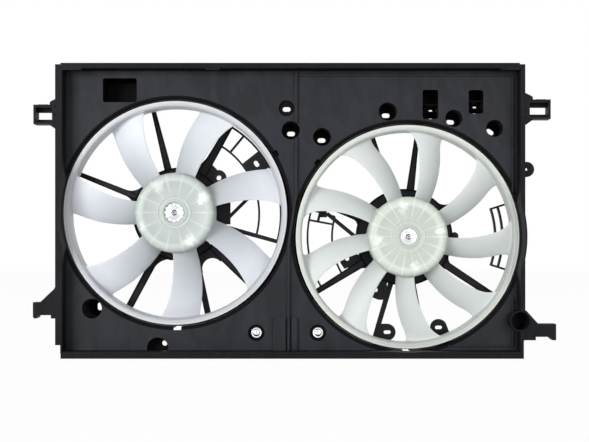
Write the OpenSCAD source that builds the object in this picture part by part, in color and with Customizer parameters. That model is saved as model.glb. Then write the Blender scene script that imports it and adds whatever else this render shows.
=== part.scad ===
// Twin radiator fan pack: a moulded shroud with a seven-blade and a nine-blade fan,
// two brushed motors on their stays, and a fan controller.
// The pack is drawn lying on its back, x to the right and y up, and stood up at the end.
// Depths are measured rearward from the front face of the pan floor, so the front
// flange has a negative depth.

/* [Shroud] */
// Running radius of each round tunnel
tunnel_r = 171; // [165:0.5:180]
// Thickness of the shroud's walls and pan floor
wall = 2.5; // [2:0.25:3]
// Land between the two tunnels where they come closest sideways
tunnel_gap = 2; // [1:0.5:20]
// Height of the right fan's tunnel over the bottom edge
foot_gap = 6.5; // [4:0.5:12]
// How much higher the left fan stands than the right one
fan_step = 36; // [25:1:45]
// Panel above the left tunnel
head_room = 46.5; // [44:0.5:60]
// Depth of the pan in front of its floor
pan_depth = 27; // [24:1:34]
// Depth of the tunnels behind the pan floor
tunnel_depth = 50; // [47:1:60]
// Rounding of each tunnel's mouth
mouth_r = 3.5; // [2:0.5:3.5]

/* [Flange] */
// Width of the side flanges
side_flange = 10; // [9:0.5:13]
// Width of the top flange
top_flange = 7.5; // [6:0.5:9]
// Width of the bottom flange
bottom_flange = 10; // [8:0.5:10]
// Thickness of the flange
flange_t = 2.5; // [2:0.25:4]
// Step of the side flanges beyond the corners
corner_step = 8; // [6:0.5:8]
// Height of the side flanges' foot
side_flange_foot = 20; // [15:0.5:24]
// Drop of the side flanges' top below the top edge
side_flange_drop = 2; // [1:0.5:6]

/* [Pockets and screws] */
// Depth of the fastener pockets
pocket_depth = 38; // [30:1:44]
// Depth of the lower left pocket
deep_pocket_depth = 60; // [40:1:70]
// Length of the slot in a pocket's bottom
slot_l = 12; // [9:0.5:13]
// Width of the slot in a pocket's bottom
slot_w = 7; // [5:0.5:8]
// Height of the panel screws over the bottom edge
screw_y = 36; // [33:1:40]
// Distance between the panel screws
screw_span = 92.5; // [88:0.5:100]
// Radius of a panel screw's recess
screw_recess_r = 12.5; // [11:0.5:13]
// Depth of a panel screw's recess
screw_recess_depth = 6; // [5:0.5:9]
// Radius of a panel screw's head
screw_head_r = 8.1; // [6.5:0.1:9]
// Radius of a panel screw's shank
screw_shank_r = 3; // [2:0.25:3.5]

/* [Side tabs] */
// Reach of the upper left tab beyond the body
upper_left_reach = 32; // [30:0.5:45]
// Reach of the upper right tab beyond the body
upper_right_reach = 34.2; // [32:0.5:45]
// Reach of the lower left hook beyond the body
lower_left_reach = 33.5; // [31:0.5:45]
// Reach of the lower right hook beyond the body
lower_right_reach = 43; // [40:0.5:55]
// Height of an upper tab
tab_h = 28.5; // [28:0.5:34]
// Depth of the side tabs
tab_depth = 20; // [14:1:22]
// Bore radius of the tube socket
socket_r = 13.5; // [8:0.5:14]

/* [Fans] */
// Gap from a fan ring to its tunnel
tip_gap = 3; // [2:0.5:5]
// Width of a fan ring's front lip
lip_w = 9; // [7:0.5:12]
// Depth of a fan ring
ring_depth = 28; // [24:1:32]
// Wall of a fan's ring and hub
fan_wall = 2.5; // [2:0.25:3.5]
// Outer radius of the hubs
hub_r = 60; // [56:0.5:64]
// How far the hubs stand proud of the pan floor
hub_proud = 10; // [6:1:13]
// Rear edge of the hubs behind the pan floor
hub_back = 30; // [29:0.5:32]
// Rounding of the hub's shoulder
hub_round = 9; // [6:0.5:12]
// Blades of the left fan
left_blades = 7; // [5:1:9]
// Blades of the right fan
right_blades = 9; // [7:1:11]
// Greatest thickness of a blade
blade_t = 3; // [2:0.25:4]
// Camber of a blade
blade_camber = 2.6; // [1:0.1:4]

/* [Motors] */
// Outer radius of a motor case
motor_r = 54; // [51:0.5:55]
// Length of a motor case
motor_len = 56; // [52:1:64]
// Wall of a motor case
motor_wall = 2; // [1.5:0.25:2.5]
// Gap between a hub's rear edge and the motor's front
motor_gap = 10; // [9:0.5:14]
// Radius of a motor shaft
shaft_r = 4; // [3:0.25:5]
// Running clearance of a shaft in its bearings
shaft_clear = 0.05; // [0.02:0.01:0.1]
// Outer radius of a bearing
bearing_r = 11; // [9:0.5:12]
// Width of a bearing
bearing_w = 7; // [5:0.5:8]
// Thickness of a magnet
magnet_t = 6; // [4:0.5:8]
// Gap between the armature and the magnets
air_gap = 1; // [0.6:0.1:1.5]
// Slots in the armature core
armature_slots = 12; // [8:1:16]
// Radius of the commutator
commutator_r = 12; // [10:0.5:14]
// Radius of the circle of the motor screws
motor_screw_pcr = 66; // [65:0.25:66.5]
// Radius of a motor screw
motor_screw_r = 2.5; // [2:0.25:3]

/* [Motor stays] */
// Depth of the stays
stay_depth = 15; // [12:1:18]
// Outer radius of the left stay's ring
left_stay_r = 72; // [71:0.5:76]
// Outer radius of the right stay's ring
right_stay_r = 75; // [72:0.5:78]
// Gap from a motor case to its stay
stay_gap = 2.5; // [1:0.5:3]
// Thickness of the stays' front faces and ribs
stay_t = 3; // [2:0.25:3.5]

/* [Controller] */
// Width of the controller
controller_w = 66; // [58:1:72]
// Height of the controller
controller_h = 46; // [40:1:50]
// Depth of the controller's plastic housing
controller_d = 18; // [15:1:24]
// Height of the heat sink's fins
fin_h = 12; // [8:1:18]

/* [Hidden] */
$fn = 96;
eps = 0.5;

tunnel_out_r = tunnel_r + wall;
body_w = 4 * tunnel_out_r + tunnel_gap;
left_c = [-body_w / 2 + tunnel_out_r, foot_gap + tunnel_out_r + fan_step];
right_c = [body_w / 2 - tunnel_out_r, foot_gap + tunnel_out_r];
body_h = left_c.y + tunnel_out_r + head_room;
front = -pan_depth;

// Inside of the pan
pan_x = body_w / 2 - side_flange;
pan_bottom = bottom_flange;
pan_top = body_h - top_flange;

fan_r = tunnel_r - tip_gap;
ring_r = fan_r - lip_w;
ring_front = 1;
hub_front = -hub_proud;
hub_face_back = hub_front + fan_wall;
left_recess_r = 16;
right_recess_r = 13;
recess_depth = 4;
recess_floor = hub_front + recess_depth;
boss_r = 20;
insert_r = 12;
insert_back = 8;

motor_front = hub_back + motor_gap;
motor_back = motor_front + motor_len;
bearing_front = motor_front - 5;
shaft_tip = hub_front - 3;
end_cover_t = 2.5;
rear_boss = 8;
end_play = 0.5;
armature_r = motor_r - motor_wall - magnet_t - air_gap;
rear_bearing_front = motor_back + end_cover_t - 1;
shaft_end = rear_bearing_front + bearing_w - end_play;
ring_in_r = motor_r + stay_gap;
stay_front = tunnel_depth;
stay_back = stay_front + stay_depth;
ear_t = 2.5;
boss_rise = 1;
left_motor_turn = 17.3;
right_motor_turn = 90;
socket_rise = 14;
rearmost = motor_back + end_cover_t + socket_rise;

left_reach = max(upper_left_reach, lower_left_reach);
right_reach = max(upper_right_reach, lower_right_reach);
mid_x = (right_reach - left_reach) / 2;
mid_depth = (front + rearmost) / 2;

// Panel screws stand either side of the middle, a little to the left
screw_mid_x = -6.5;
panel_screws_x = [screw_mid_x - screw_span / 2, screw_mid_x + screw_span / 2];
screw_boss_back = screw_recess_depth + wall;

// Fastener pockets round a fan: fan centre, angle, gap from the tunnel, radius, slot's turn
POCKETS = [
    [right_c, 130.6, 24.0, 13.5, 0],
    [right_c, 99.0, 17.0, 13.8, 0],
    [right_c, 68.7, 17.5, 13.0, -5],
    [right_c, 51.3, 35.3, 12.8, -35]];
DEEP_POCKET = [left_c, 229, 17, 15, 90];
// Pockets beside the centre rib: drop from the top edge, x, radius, depth
RIB_POCKETS = [[63, -7.3, 12, 4], [96, -1, 13.8, pocket_depth]];

module stand_up() {
    translate([-mid_x, -mid_depth, 0]) rotate([90, 0, 0]) children();
}

module at_left() {
    stand_up() translate(left_c) children();
}

module at_right() {
    stand_up() translate(right_c) children();
}

// A flat shape drawn out between two depths
module slab(from, to) {
    translate([0, 0, -to]) linear_extrude(to - from) children();
}

module drum(r, from, to) {
    translate([0, 0, -to]) cylinder(r = r, h = to - from);
}

module pipe(r_out, r_in, from, to) {
    difference() {
        drum(r_out, from, to);
        drum(r_in, from - eps, to + eps);
    }
}

// A rectangle given by its left, right, lower and upper edges
module span(x1, x2, y1, y2) {
    translate([x1, y1]) square([x2 - x1, y2 - y1]);
}

module rounded_span(x1, x2, y1, y2, r) {
    span(x1 + r, x2 - r, y1, y2);
    span(x1, x2, y1 + r, y2 - r);
    for (x = [x1 + r, x2 - r], y = [y1 + r, y2 - r]) translate([x, y]) circle(r, $fn = 32);
}

// A straight bar between two points
module bar(a, b, w) {
    run = b - a;
    translate(a) rotate(atan2(run.y, run.x)) translate([0, -w / 2]) square([norm(run), w]);
}

// Bars along a path; the round corners stand out by a hair so that they cross the bars' edges
module stroke(points, w) {
    for (i = [0 : len(points) - 2]) bar(points[i], points[i + 1], w);
    for (i = [1 : len(points) - 2]) translate(points[i]) circle(w / 2 + 0.2, $fn = 32);
}

module slot(l, w) {
    square([l - w, w], center = true);
    for (side = [-1, 1]) translate([side * (l - w) / 2, 0]) circle(w / 2, $fn = 32);
}

// A pie slice of less than half a turn
module slice(r, a1, a2) {
    mid = (a1 + a2) / 2;
    far = r / cos((a2 - a1) / 4) / cos((a2 - a1) / 4);
    polygon([[0, 0], far * [cos(a1), sin(a1)], far * [cos(mid), sin(mid)],
        far * [cos(a2), sin(a2)]]);
}

module arc_bar(r, w, a1, a2) {
    intersection() {
        difference() {
            circle(r + w / 2);
            circle(r - w / 2);
        }
        slice(r + w, a1, a2);
    }
}

function from_fan(c, angle, gap) = c + (tunnel_out_r + gap) * [cos(angle), sin(angle)];
function polar(r, angle) = r * [cos(angle), sin(angle)];

// Shroud moulding, drawn piece by piece so that each has a simple form

// The right flange is a little narrower than the left one
right_trim = 3.2;
right_foot = 27;
right_foot_trim = 5.3;

module flange_outline() {
    edge = body_w / 2;
    span(-edge, 0, side_flange_foot, body_h - side_flange_drop);
    span(0, edge - right_trim, right_foot, body_h - side_flange_drop);
    span(-edge + corner_step, edge - right_trim - corner_step, 0, body_h);
    span(0, edge - right_foot_trim, 0, right_foot + wall);
}

module pan_outline(grow = 0) {
    span(-pan_x - grow, pan_x + grow, pan_bottom - grow, pan_top + grow);
}

module tunnels(r, from, to) {
    for (c = [left_c, right_c]) translate(c) drum(r, from, to);
}

// Room that the tunnels and their collars take behind the pan's front
collar_r = tunnel_out_r + wall;
collar_back = mouth_r + wall;
module tunnel_room() {
    tunnels(tunnel_out_r, -eps, tunnel_depth + eps);
    tunnels(collar_r, -eps, collar_back);
}

// One fan's side of the line on which the two collars meet; side is -1 at the left
module own_side(side) {
    run = right_c - left_c;
    reach = 2 * body_w;
    translate((left_c + right_c) / 2) rotate(atan2(run.y, run.x))
        span(side < 0 ? -reach : 0, side < 0 ? 0 : reach, -reach, reach);
}

module socket_room() {
    translate(socket_p) drum(socket_r + socket_wall, front - 2 * eps, socket_back + wall);
}

// Rounded mouth of a tunnel
module tunnel_mouth() {
    rotate_extrude() difference() {
        translate([tunnel_r - 1, -mouth_r]) square([mouth_r + 1, mouth_r + eps]);
        translate([tunnel_r + mouth_r, -mouth_r]) circle(mouth_r, $fn = 64);
    }
}

// Slots that drain the tunnels at their foot, and blind notches at their sides
drain_w = 12;
drain_r = 5.5;
LEFT_DRAIN = 3.1;
RIGHT_DRAIN = -0.9;
notch_w = 9;
notch_h = 8;
notch_depth = 10;
LEFT_NOTCH = 30.5;
RIGHT_NOTCH = 140.5;

// Room of the notches, or with grow the boxes round them
module notches(grow, from, to) {
    for (n = [[left_c, LEFT_NOTCH], [right_c, RIGHT_NOTCH]]) translate(n[0]) rotate(n[1])
        slab(from, to) span(tunnel_r - mouth_r - grow, tunnel_r + notch_h + grow,
            -notch_w / 2 - grow, notch_w / 2 + grow);
}

module tunnel(c, side, drain_x) {
    color("#3b3c41") difference() {
        union() {
            translate(c) drum(tunnel_out_r, 0, tunnel_depth);
            intersection() {
                union() {
                    translate(c) drum(collar_r, 0, collar_back);
                    notches(wall, wall, notch_depth + wall);
                }
                slab(-1, tunnel_depth) own_side(side);
            }
        }
        notches(0, -eps, notch_depth);
        translate(c) {
            drum(tunnel_r, -eps, tunnel_depth + eps);
            tunnel_mouth();
            slab(-eps, tunnel_depth + eps) span(drain_x - drain_w / 2, drain_x + drain_w / 2,
                -tunnel_r - drain_r, -tunnel_r + 5);
        }
    }
}

// Fastener pockets: cups behind round holes in the floor, with a slot in the bottom that
// stands a little below the middle
slot_drop = 1.2;
module pocket_cup(p, r, depth, turn, drop = slot_drop) {
    translate(p) difference() {
        drum(r + wall, wall, depth + wall);
        drum(r, 0, depth);
        slab(depth - eps, depth + wall + eps) translate([0, -drop]) rotate(turn) slot(slot_l, slot_w);
    }
}

module pocket_holes(from) {
    for (p = POCKETS) translate(from_fan(p[0], p[1], p[2])) drum(p[3], from, wall + eps);
    translate(from_fan(DEEP_POCKET[0], DEEP_POCKET[1], DEEP_POCKET[2]))
        drum(DEEP_POCKET[3], from, wall + eps);
    for (p = RIB_POCKETS) translate([p[1], body_h - p[0]]) drum(p[2], from, wall + eps);
}

module pocket_room() {
    for (p = POCKETS) translate(from_fan(p[0], p[1], p[2])) drum(p[3] + wall, 0, pocket_depth + wall);
    translate(from_fan(DEEP_POCKET[0], DEEP_POCKET[1], DEEP_POCKET[2]))
        drum(DEEP_POCKET[3] + wall, 0, deep_pocket_depth + wall);
    for (p = RIB_POCKETS) translate([p[1], body_h - p[0]]) drum(p[2] + wall, 0, p[3] + wall);
}

module fastener_pockets() {
    color("#3b3c41") difference() {
        union() {
            for (p = POCKETS) pocket_cup(from_fan(p[0], p[1], p[2]), p[3], pocket_depth, p[4]);
            pocket_cup(from_fan(DEEP_POCKET[0], DEEP_POCKET[1], DEEP_POCKET[2]), DEEP_POCKET[3],
                deep_pocket_depth, DEEP_POCKET[4], 0);
            for (p = RIB_POCKETS) pocket_cup([p[1], body_h - p[0]], p[2], p[3], 0);
        }
        tunnel_room();
    }
}

// Windows in the floor: left, right, lower and upper edges
left_window = [left_c.x - 108.5, left_c.x - 57.5, body_h - 54, body_h - 18];
left_window_depth = 45;
right_window_1 = [right_c.x + 22.2, right_c.x + 45.8, body_h - 79.3, body_h - 35.4];
right_window_2 = [right_c.x + 91.5, right_c.x + 113.5, body_h - 71.4, body_h - 35.7];
window_depth = 40;
window_corner = 3;

module window_hole(w, to) {
    slab(-eps, to) rounded_span(w[0], w[1], w[2], w[3], window_corner);
}

module window_shell(w, depth, from = wall) {
    slab(from, depth + wall) span(w[0] - wall, w[1] + wall, w[2] - wall, w[3] + wall);
}

// Two clip bars cross a window over small gaps in its back
bar_t = 2;
gap_h = 3.5;
module window_gaps(w) {
    third = (w[3] - w[2]) / 3;
    for (y = [w[2] + 2.5, w[2] + third + 1]) slab(window_depth - eps, window_depth + wall + eps)
        span(w[1] - 9, w[1] - 4, y, y + gap_h);
}

module window_bars(w) {
    third = (w[3] - w[2]) / 3;
    slab(window_depth * 0.6, window_depth + eps)
        span(w[0] - eps, w[1] + eps, w[2] + third - bar_t, w[2] + third);
    slab(window_depth * 0.35, window_depth + eps)
        span(w[0] - eps, w[1] + eps, w[2] + third + 8, w[2] + third + 8 + bar_t);
}

// Closed window at the foot with a rounded top, and its screw hole
foot_window_x = left_c.x - 26.4;
foot_window_r = 15.85;
foot_window_top = 29;
foot_hole = [left_c.x - 18.5, 18.5];
foot_hole_r = 4;
foot_window_depth = 22;

module foot_window(grow) {
    intersection() {
        translate([foot_window_x, foot_window_top - foot_window_r]) circle(foot_window_r + grow);
        span(foot_window_x - body_w, foot_window_x + body_w, wall - grow, body_h);
    }
    span(foot_window_x - foot_window_r - grow, foot_window_x + foot_window_r + grow,
        wall - grow, foot_window_top - foot_window_r);
}

module window_boxes() {
    color("#3b3c41") difference() {
        union() {
            difference() {
                window_shell(left_window, left_window_depth);
                window_hole(left_window, left_window_depth);
            }
            for (w = [right_window_1, right_window_2]) difference() {
                window_shell(w, window_depth);
                difference() {
                    window_hole(w, window_depth);
                    window_bars(w);
                }
                window_gaps(w);
            }
            difference() {
                slab(wall, foot_window_depth + wall) foot_window(wall);
                slab(0, foot_window_depth) foot_window(0);
                translate(foot_hole) drum(foot_hole_r, foot_window_depth - eps,
                    foot_window_depth + wall + eps);
            }
        }
        tunnel_room();
    }
}

// Seats of the two panel screws
module screw_seats() {
    color("#3b3c41") for (x = panel_screws_x) translate([x, screw_y]) difference() {
        drum(screw_recess_r + wall, wall, screw_boss_back);
        drum(screw_recess_r, 0, screw_recess_depth);
        drum(screw_shank_r, 0, screw_boss_back + eps);
    }
}

// Floor of the pan, which the other parts of the moulding stand on. It is made in parts:
// below both tunnels, and above them on each side of a line under the middle rib.
floor_x = 6.5;
floor_y = (left_c.y + right_c.y) / 2;
fans_apart = norm(right_c - left_c);
floor_tip = 2 * collar_r > fans_apart ? sqrt(pow(collar_r, 2) - pow(fans_apart / 2, 2)) + 2.6 : 0;
module floor_whole() {
    difference() {
        slab(0, wall) pan_outline(wall);
        tunnel_room();
        socket_room();
        pocket_holes(-eps);
        for (w = [left_window, right_window_1, right_window_2]) window_hole(w, wall + eps);
        slab(-eps, wall + eps) foot_window(0);
        for (x = panel_screws_x) translate([x, screw_y]) drum(screw_recess_r, -eps, wall + eps);
        notches(0, -eps, notch_depth);
    }
}

module floor_part(x1, x2, y1, y2) {
    color("#3b3c41") intersection() {
        floor_whole();
        slab(-1, wall + 1) span(x1, x2, y1, y2);
    }
}

module shroud_panel() {
    floor_part(-body_w, body_w, -1, floor_y - floor_tip);
}

module upper_left_floor() {
    floor_part(-body_w, floor_x, floor_y + floor_tip, body_h + 1);
}

module upper_right_floor() {
    floor_part(floor_x, body_w, floor_y + floor_tip, body_h + 1);
}

// Raised rib between the fans, which steps round both tunnels
rib_w = 3;
rib_h = 5;
rib_path = [[7, pan_top], [7, left_c.y + 27], [-4.3, right_c.y - 11], [-4.3, pan_bottom]];

// Two low pads at the foot of the rib: left and right edges
PADS = [[-27, -9], [0.5, 8.3]];
pad_h = 5.5;
pad_top = 59;

// Low ridge that runs inside the right half of the pan
ridge_in = 6;
ridge_w = 1.5;
ridge_h = 4;

module floor_ribs() {
    color("#3b3c41") difference() {
        union() {
            slab(-rib_h, 0) stroke(rib_path, rib_w);
            for (p = PADS) slab(-pad_h, 0) span(p[0], p[1], pan_bottom, pad_top);
            slab(-ridge_h, 0) difference() {
                span(rib_path[0].x, pan_x - ridge_in, right_c.y + 40, pan_top - ridge_in);
                span(rib_path[0].x - eps, pan_x - ridge_in - ridge_w, right_c.y + 40 - eps,
                    pan_top - ridge_in - ridge_w);
            }
            slab(-ridge_h, 0) difference() {
                span(right_c.x + 60, pan_x - ridge_in, pan_bottom + ridge_in, right_c.y - 90);
                span(right_c.x + 60 - eps, pan_x - ridge_in - ridge_w,
                    pan_bottom + ridge_in + ridge_w, right_c.y - 90 + eps);
            }
        }
        tunnels(tunnel_r, -pad_h - eps, eps);
        socket_room();
        pocket_holes(-pad_h - eps);
        notches(0, -pad_h - eps, eps);
    }
}

// Rim in front of the floor: the flange, the pan's walls and what stands on them
socket_p = [body_w / 2 - 9.8, 55.3];
socket_wall = 1.6;
socket_front = front + 1;
socket_back = 14;

// Half-round boss on the right edge with a small hole
side_boss = [body_w / 2 + 0.5, left_c.y + 63.7];
side_boss_r = 11.2;
side_boss_hole_r = 2;
side_boss_front = front + 8;

// Deeper lips under the top flange
lip_drop = 3;
TOP_LIPS = [[-body_w / 2 + corner_step, 31], [left_c.x + 48, 21], [body_w / 2 - corner_step - 31, 28]];

upper_left_y = body_h - 90;
upper_right_y = body_h - 82.4;
lower_left_y = 64;
lower_right_y = 32;
root_w = 8;
tab_start = 2;

// Plate behind an upper tab's foot; side is -1 at the left
module tab_root(side, y) {
    edge = body_w / 2;
    mirror([side < 0 ? 1 : 0, 0]) difference() {
        union() {
            slab(front, front + flange_t) polygon([[edge - side_flange, y - 10], [edge - 4, y - 10],
                [edge + root_w, y - 1.5], [edge + root_w, y + tab_h + 3],
                [edge + root_w - 1.5, y + tab_h + 5], [edge - 4, y + tab_h + 10],
                [edge - side_flange, y + tab_h + 10]]);
            slab(front, front + tab_depth) for (gy = [y - 1, y + tab_h - 2])
                span(edge - side_flange, edge + root_w, gy, gy + 3);
            slab(front, front + tab_depth) span(edge - side_flange, edge + tab_start, y, y + tab_h);
        }
        slab(front - eps, front + tab_depth + eps)
            span(edge + tab_start, edge + root_w + eps, y, y + tab_h);
    }
}

module rim_whole() {
    difference() {
        union() {
            slab(front, front + flange_t) flange_outline();
            slab(front, 0) pan_outline(wall);
            tunnels(tunnel_out_r, front, 0);
            tab_root(-1, upper_left_y);
            tab_root(1, upper_right_y);
            slab(front + 3, front + tab_depth) {
                span(-body_w / 2, -pan_x, lower_left_y - leg_drop, lower_left_y + 19);
                span(pan_x, body_w / 2 - right_trim, lower_right_y - leg_drop, lower_right_y + 19);
            }
        }
        difference() {
            slab(front - eps, eps) pan_outline();
            for (l = TOP_LIPS) slab(front, front + flange_t)
                span(l[0], l[0] + l[1], pan_top - lip_drop, pan_top + eps);
        }
        tunnels(tunnel_r, front - eps, eps);
        socket_room();
        for (side = [-1, 1], i = [0 : 2]) slab(front - eps, front + 1.6) {
            y = (side < 0 ? upper_left_y : upper_right_y) + 2 + i * (tab_h - 5) / 2;
            x = side < 0 ? -body_w / 2 - 0.2 : body_w / 2 - 2.5;
            span(x - 1.2, x + 1.2, y - 1.6, y + 1.6);
        }
    }
}

// Part of the rim between two bounds across and two up. The side parts keep the ends of
// the top and bottom walls.
rim_x = pan_x - 4;
module rim_part(x1, x2, y1, y2) {
    color("#3b3c41") intersection() {
        rim_whole();
        slab(front - 1, 1) span(x1, x2, y1, y2);
    }
}

module side_rim(side) {
    rim_part(side < 0 ? -body_w : rim_x, side < 0 ? -rim_x : body_w, -1, body_h + 1);
}

module top_rim() {
    rim_part(-rim_x, rim_x, body_h / 2, body_h + 1);
}

module bottom_rim() {
    rim_part(-rim_x, rim_x, -1, body_h / 2);
}

// Ear on the right wall's outer face
module side_boss_plate() {
    color("#3b3c41") difference() {
        intersection() {
            slab(side_boss_front, side_boss_front + 6) {
                translate(side_boss) circle(side_boss_r);
                span(pan_x, side_boss.x, side_boss.y - side_boss_r, side_boss.y + side_boss_r);
            }
            slab(front, 0) span(pan_x + wall, body_w, 0, body_h);
        }
        translate(side_boss) drum(side_boss_hole_r, side_boss_front - eps, side_boss_front + 6 + eps);
    }
}

module tube_socket() {
    color("#3b3c41") translate(socket_p) difference() {
        drum(socket_r + socket_wall, socket_front, socket_back + wall);
        drum(socket_r, front - eps, socket_back);
    }
}

// Upper side tab: a window frame with a slot through its back; side is -1 at the left
window_low = 3;
window_h = 21.6;
left_window_w = 24;
right_window_w = 27.3;
tab_web = 3;
tab_wall = 3.4;
tab_slot = [8.5, 18.7];
tooth_h = 1;
module upper_tab(side, reach, y, inner_w) {
    edge = body_w / 2 + tab_start;
    far = body_w / 2 + reach;
    mirror([side < 0 ? 1 : 0, 0]) difference() {
        union() {
            slab(front, front + tab_depth) span(edge, far, y, y + tab_h);
            slab(front + 4, front + tab_depth - 4) for (i = [0 : 2])
                span(far - 10 - 5 * i, far - 6.5 - 5 * i, y + tab_h - 1, y + tab_h + tooth_h);
        }
        slab(front - eps, front + tab_depth - tab_web)
            span(far - tab_wall - inner_w, far - tab_wall, y + window_low, y + window_low + window_h);
        slab(front, front + tab_depth + eps)
            span(far - tab_wall - inner_w, far - tab_wall, y + tab_slot[0], y + tab_slot[1]);
    }
}

// Lower side hooks: a plate with a notch under it between two legs
leg_drop = 5;
module lower_left_hook() {
    edge = -body_w / 2;
    far = edge - lower_left_reach;
    slab(front + 3, front + tab_depth) {
        span(far, edge, lower_left_y, lower_left_y + 19);
        translate([far + 3.5, lower_left_y - leg_drop + 3.5]) circle(3.5, $fn = 32);
        span(far, far + 7, lower_left_y - leg_drop + 3.5, lower_left_y + 1);
        span(edge - 7, edge, lower_left_y - leg_drop, lower_left_y + 1);
    }
    slab(front + 3, front + 3 + wall) polygon([[edge, lower_left_y + 18],
        [edge - 24, lower_left_y + 18], [edge - 1, lower_left_y + 40], [edge, lower_left_y + 40]]);
    slab(front, front + 3 + wall) polygon([[edge, lower_left_y + 17],
        [edge - 3, lower_left_y + 17], [edge - 1, lower_left_y + 41], [edge, lower_left_y + 41]]);
}

module lower_right_hook() {
    edge = body_w / 2 - right_trim;
    far = body_w / 2 + lower_right_reach;
    slab(front + 3, front + tab_depth) {
        span(edge, far, lower_right_y, lower_right_y + 19);
        polygon([[far - 8, lower_right_y + 1], [far - 8, lower_right_y - 2],
            [far - 5, lower_right_y - leg_drop], [far, lower_right_y - leg_drop], [far, lower_right_y + 1]]);
        span(edge, edge + 16.2, lower_right_y - leg_drop, lower_right_y + 1);
    }
    slab(front + 3, front + 3 + wall) polygon([[edge, lower_right_y + 18],
        [edge + 21, lower_right_y + 18], [edge + 2, lower_right_y + 39], [edge, lower_right_y + 39]]);
}

module left_tabs() {
    color("#3b3c41") {
        upper_tab(-1, upper_left_reach, upper_left_y, left_window_w);
        lower_left_hook();
    }
}

module right_tabs() {
    color("#3b3c41") difference() {
        union() {
            upper_tab(1, upper_right_reach, upper_right_y, right_window_w);
            lower_right_hook();
        }
        socket_room();
    }
}

// Ribs and gussets behind the floor; a rib's place is a share of the pan's half width
gusset_reach = 34;
gusset_back = 30;
LEFT_GUSSETS = [62, 78, 112, 128, 142, 214, 244, 256, 298, 312];
RIGHT_GUSSETS = [36, 60, 84, 115, 146, 232, 246, 296, 310, 324];
TOP_RIBS = [-0.89, -0.59, -0.36, -0.18, 0.18, 0.36, 0.69, 0.95];
FOOT_RIBS = [-0.97, -0.8, -0.36, -0.24, 0.24, 0.8, 0.94];
back_rib_h = 14;
top_rib_l = 34;
foot_rib_l = 22;

top_rib_drop = 12;
foot_rib_rise = 8;

module rib_lines() {
    for (share = TOP_RIBS) span(share * pan_x - wall / 2, share * pan_x + wall / 2,
        pan_top - top_rib_l, pan_top + wall);
    span(-pan_x, pan_x, pan_top - top_rib_drop - wall, pan_top - top_rib_drop);
    for (x = [[-pan_x, panel_screws_x[0]], [panel_screws_x[1], pan_x]])
        span(x[0], x[1], pan_bottom + foot_rib_rise, pan_bottom + foot_rib_rise + wall);
    for (share = FOOT_RIBS) span(share * pan_x - wall / 2, share * pan_x + wall / 2,
        pan_bottom - wall, pan_bottom + foot_rib_l);
}

// Room that the other parts of the moulding take behind the floor
module back_room() {
    tunnel_room();
    socket_room();
    pocket_room();
    window_shell(left_window, left_window_depth, 0);
    for (w = [right_window_1, right_window_2]) window_shell(w, window_depth, 0);
    slab(0, foot_window_depth + wall) foot_window(wall);
    for (x = panel_screws_x) translate([x, screw_y]) drum(screw_recess_r + wall, 0, screw_boss_back);
    notches(wall, 0, notch_depth + wall);
}

module back_ribs() {
    color("#3b3c41") difference() {
        slab(wall, back_rib_h) rib_lines();
        back_room();
    }
}

module gusset_ring(c, angles) {
    translate(c) for (a = angles) rotate(a) translate([0, wall / 2, 0]) rotate([90, 0, 0])
        linear_extrude(wall) polygon([[tunnel_out_r - 1, -wall], [tunnel_out_r + gusset_reach, -wall],
            [tunnel_out_r - 1, -gusset_back]]);
}

// Gussets round the tunnels, which end at the ribs
module gussets() {
    color("#3b3c41") difference() {
        intersection() {
            union() {
                gusset_ring(left_c, LEFT_GUSSETS);
                gusset_ring(right_c, RIGHT_GUSSETS);
            }
            slab(0, gusset_back + wall) pan_outline(wall);
        }
        slab(0, back_rib_h) rib_lines();
        back_room();
    }
}

// Motor stays

// A tapered arm from the ring to the tunnel's rear rim
module stay_arm(angle, root_w, tip_w) {
    intersection() {
        rotate(angle) polygon([[ring_in_r + 1, -root_w / 2], [tunnel_out_r + 1, -tip_w / 2],
            [tunnel_out_r + 1, tip_w / 2], [ring_in_r + 1, root_w / 2]]);
        circle(tunnel_out_r);
    }
}

// Concave corner between an arm and the ring; side is 1 counterclockwise of the arm.
// The round of the corner sinks a little into the ring.
fillet_sink = 0.6;
module root_fillet(angle, side, f, ring, half) {
    seat = ring + f - fillet_sink;
    cy = side * (half + f);
    cx = sqrt(seat * seat - cy * cy);
    rotate(angle) difference() {
        polygon([[ring_in_r + 1, 0], [cx, 0], [cx, cy], [cx, cy] * (ring - stay_t / 2) / seat]);
        translate([cx, cy]) circle(f);
    }
}

// Deep rib behind the middle of an arm
module arm_rib(angle) {
    rotate(angle) span(ring_in_r + 4, tunnel_r - 1, -stay_t / 2, stay_t / 2);
}

// Rim that the arms end in, seated on the tunnel's rear edge
module stay_rim() {
    pipe(tunnel_out_r, tunnel_r, stay_front, stay_front + stay_t);
}

// Ring round a motor: a face with a wall at each edge, and three bosses that stand proud
module motor_ring(r, turn) {
    pipe(r, ring_in_r, stay_front, stay_front + stay_t);
    pipe(r, r - stay_t, stay_front, stay_back - boss_rise);
    pipe(ring_in_r + stay_t * 0.8, ring_in_r, stay_front, stay_back - boss_rise);
    for (i = [0 : 2]) rotate(turn + i * 120) {
        translate([motor_screw_pcr, 0]) drum(motor_screw_r + stay_t, stay_front, stay_back);
        slab(stay_front, stay_back - 2 * boss_rise)
            span(motor_screw_pcr, r - stay_t / 2, -stay_t, stay_t);
    }
}

module motor_ring_holes(turn) {
    drum(ring_in_r, stay_front - eps, stay_back + eps);
    for (i = [0 : 2]) rotate(turn + i * 120) translate([motor_screw_pcr, 0])
        drum(motor_screw_r, stay_front + stay_t, stay_back + eps);
}

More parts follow.
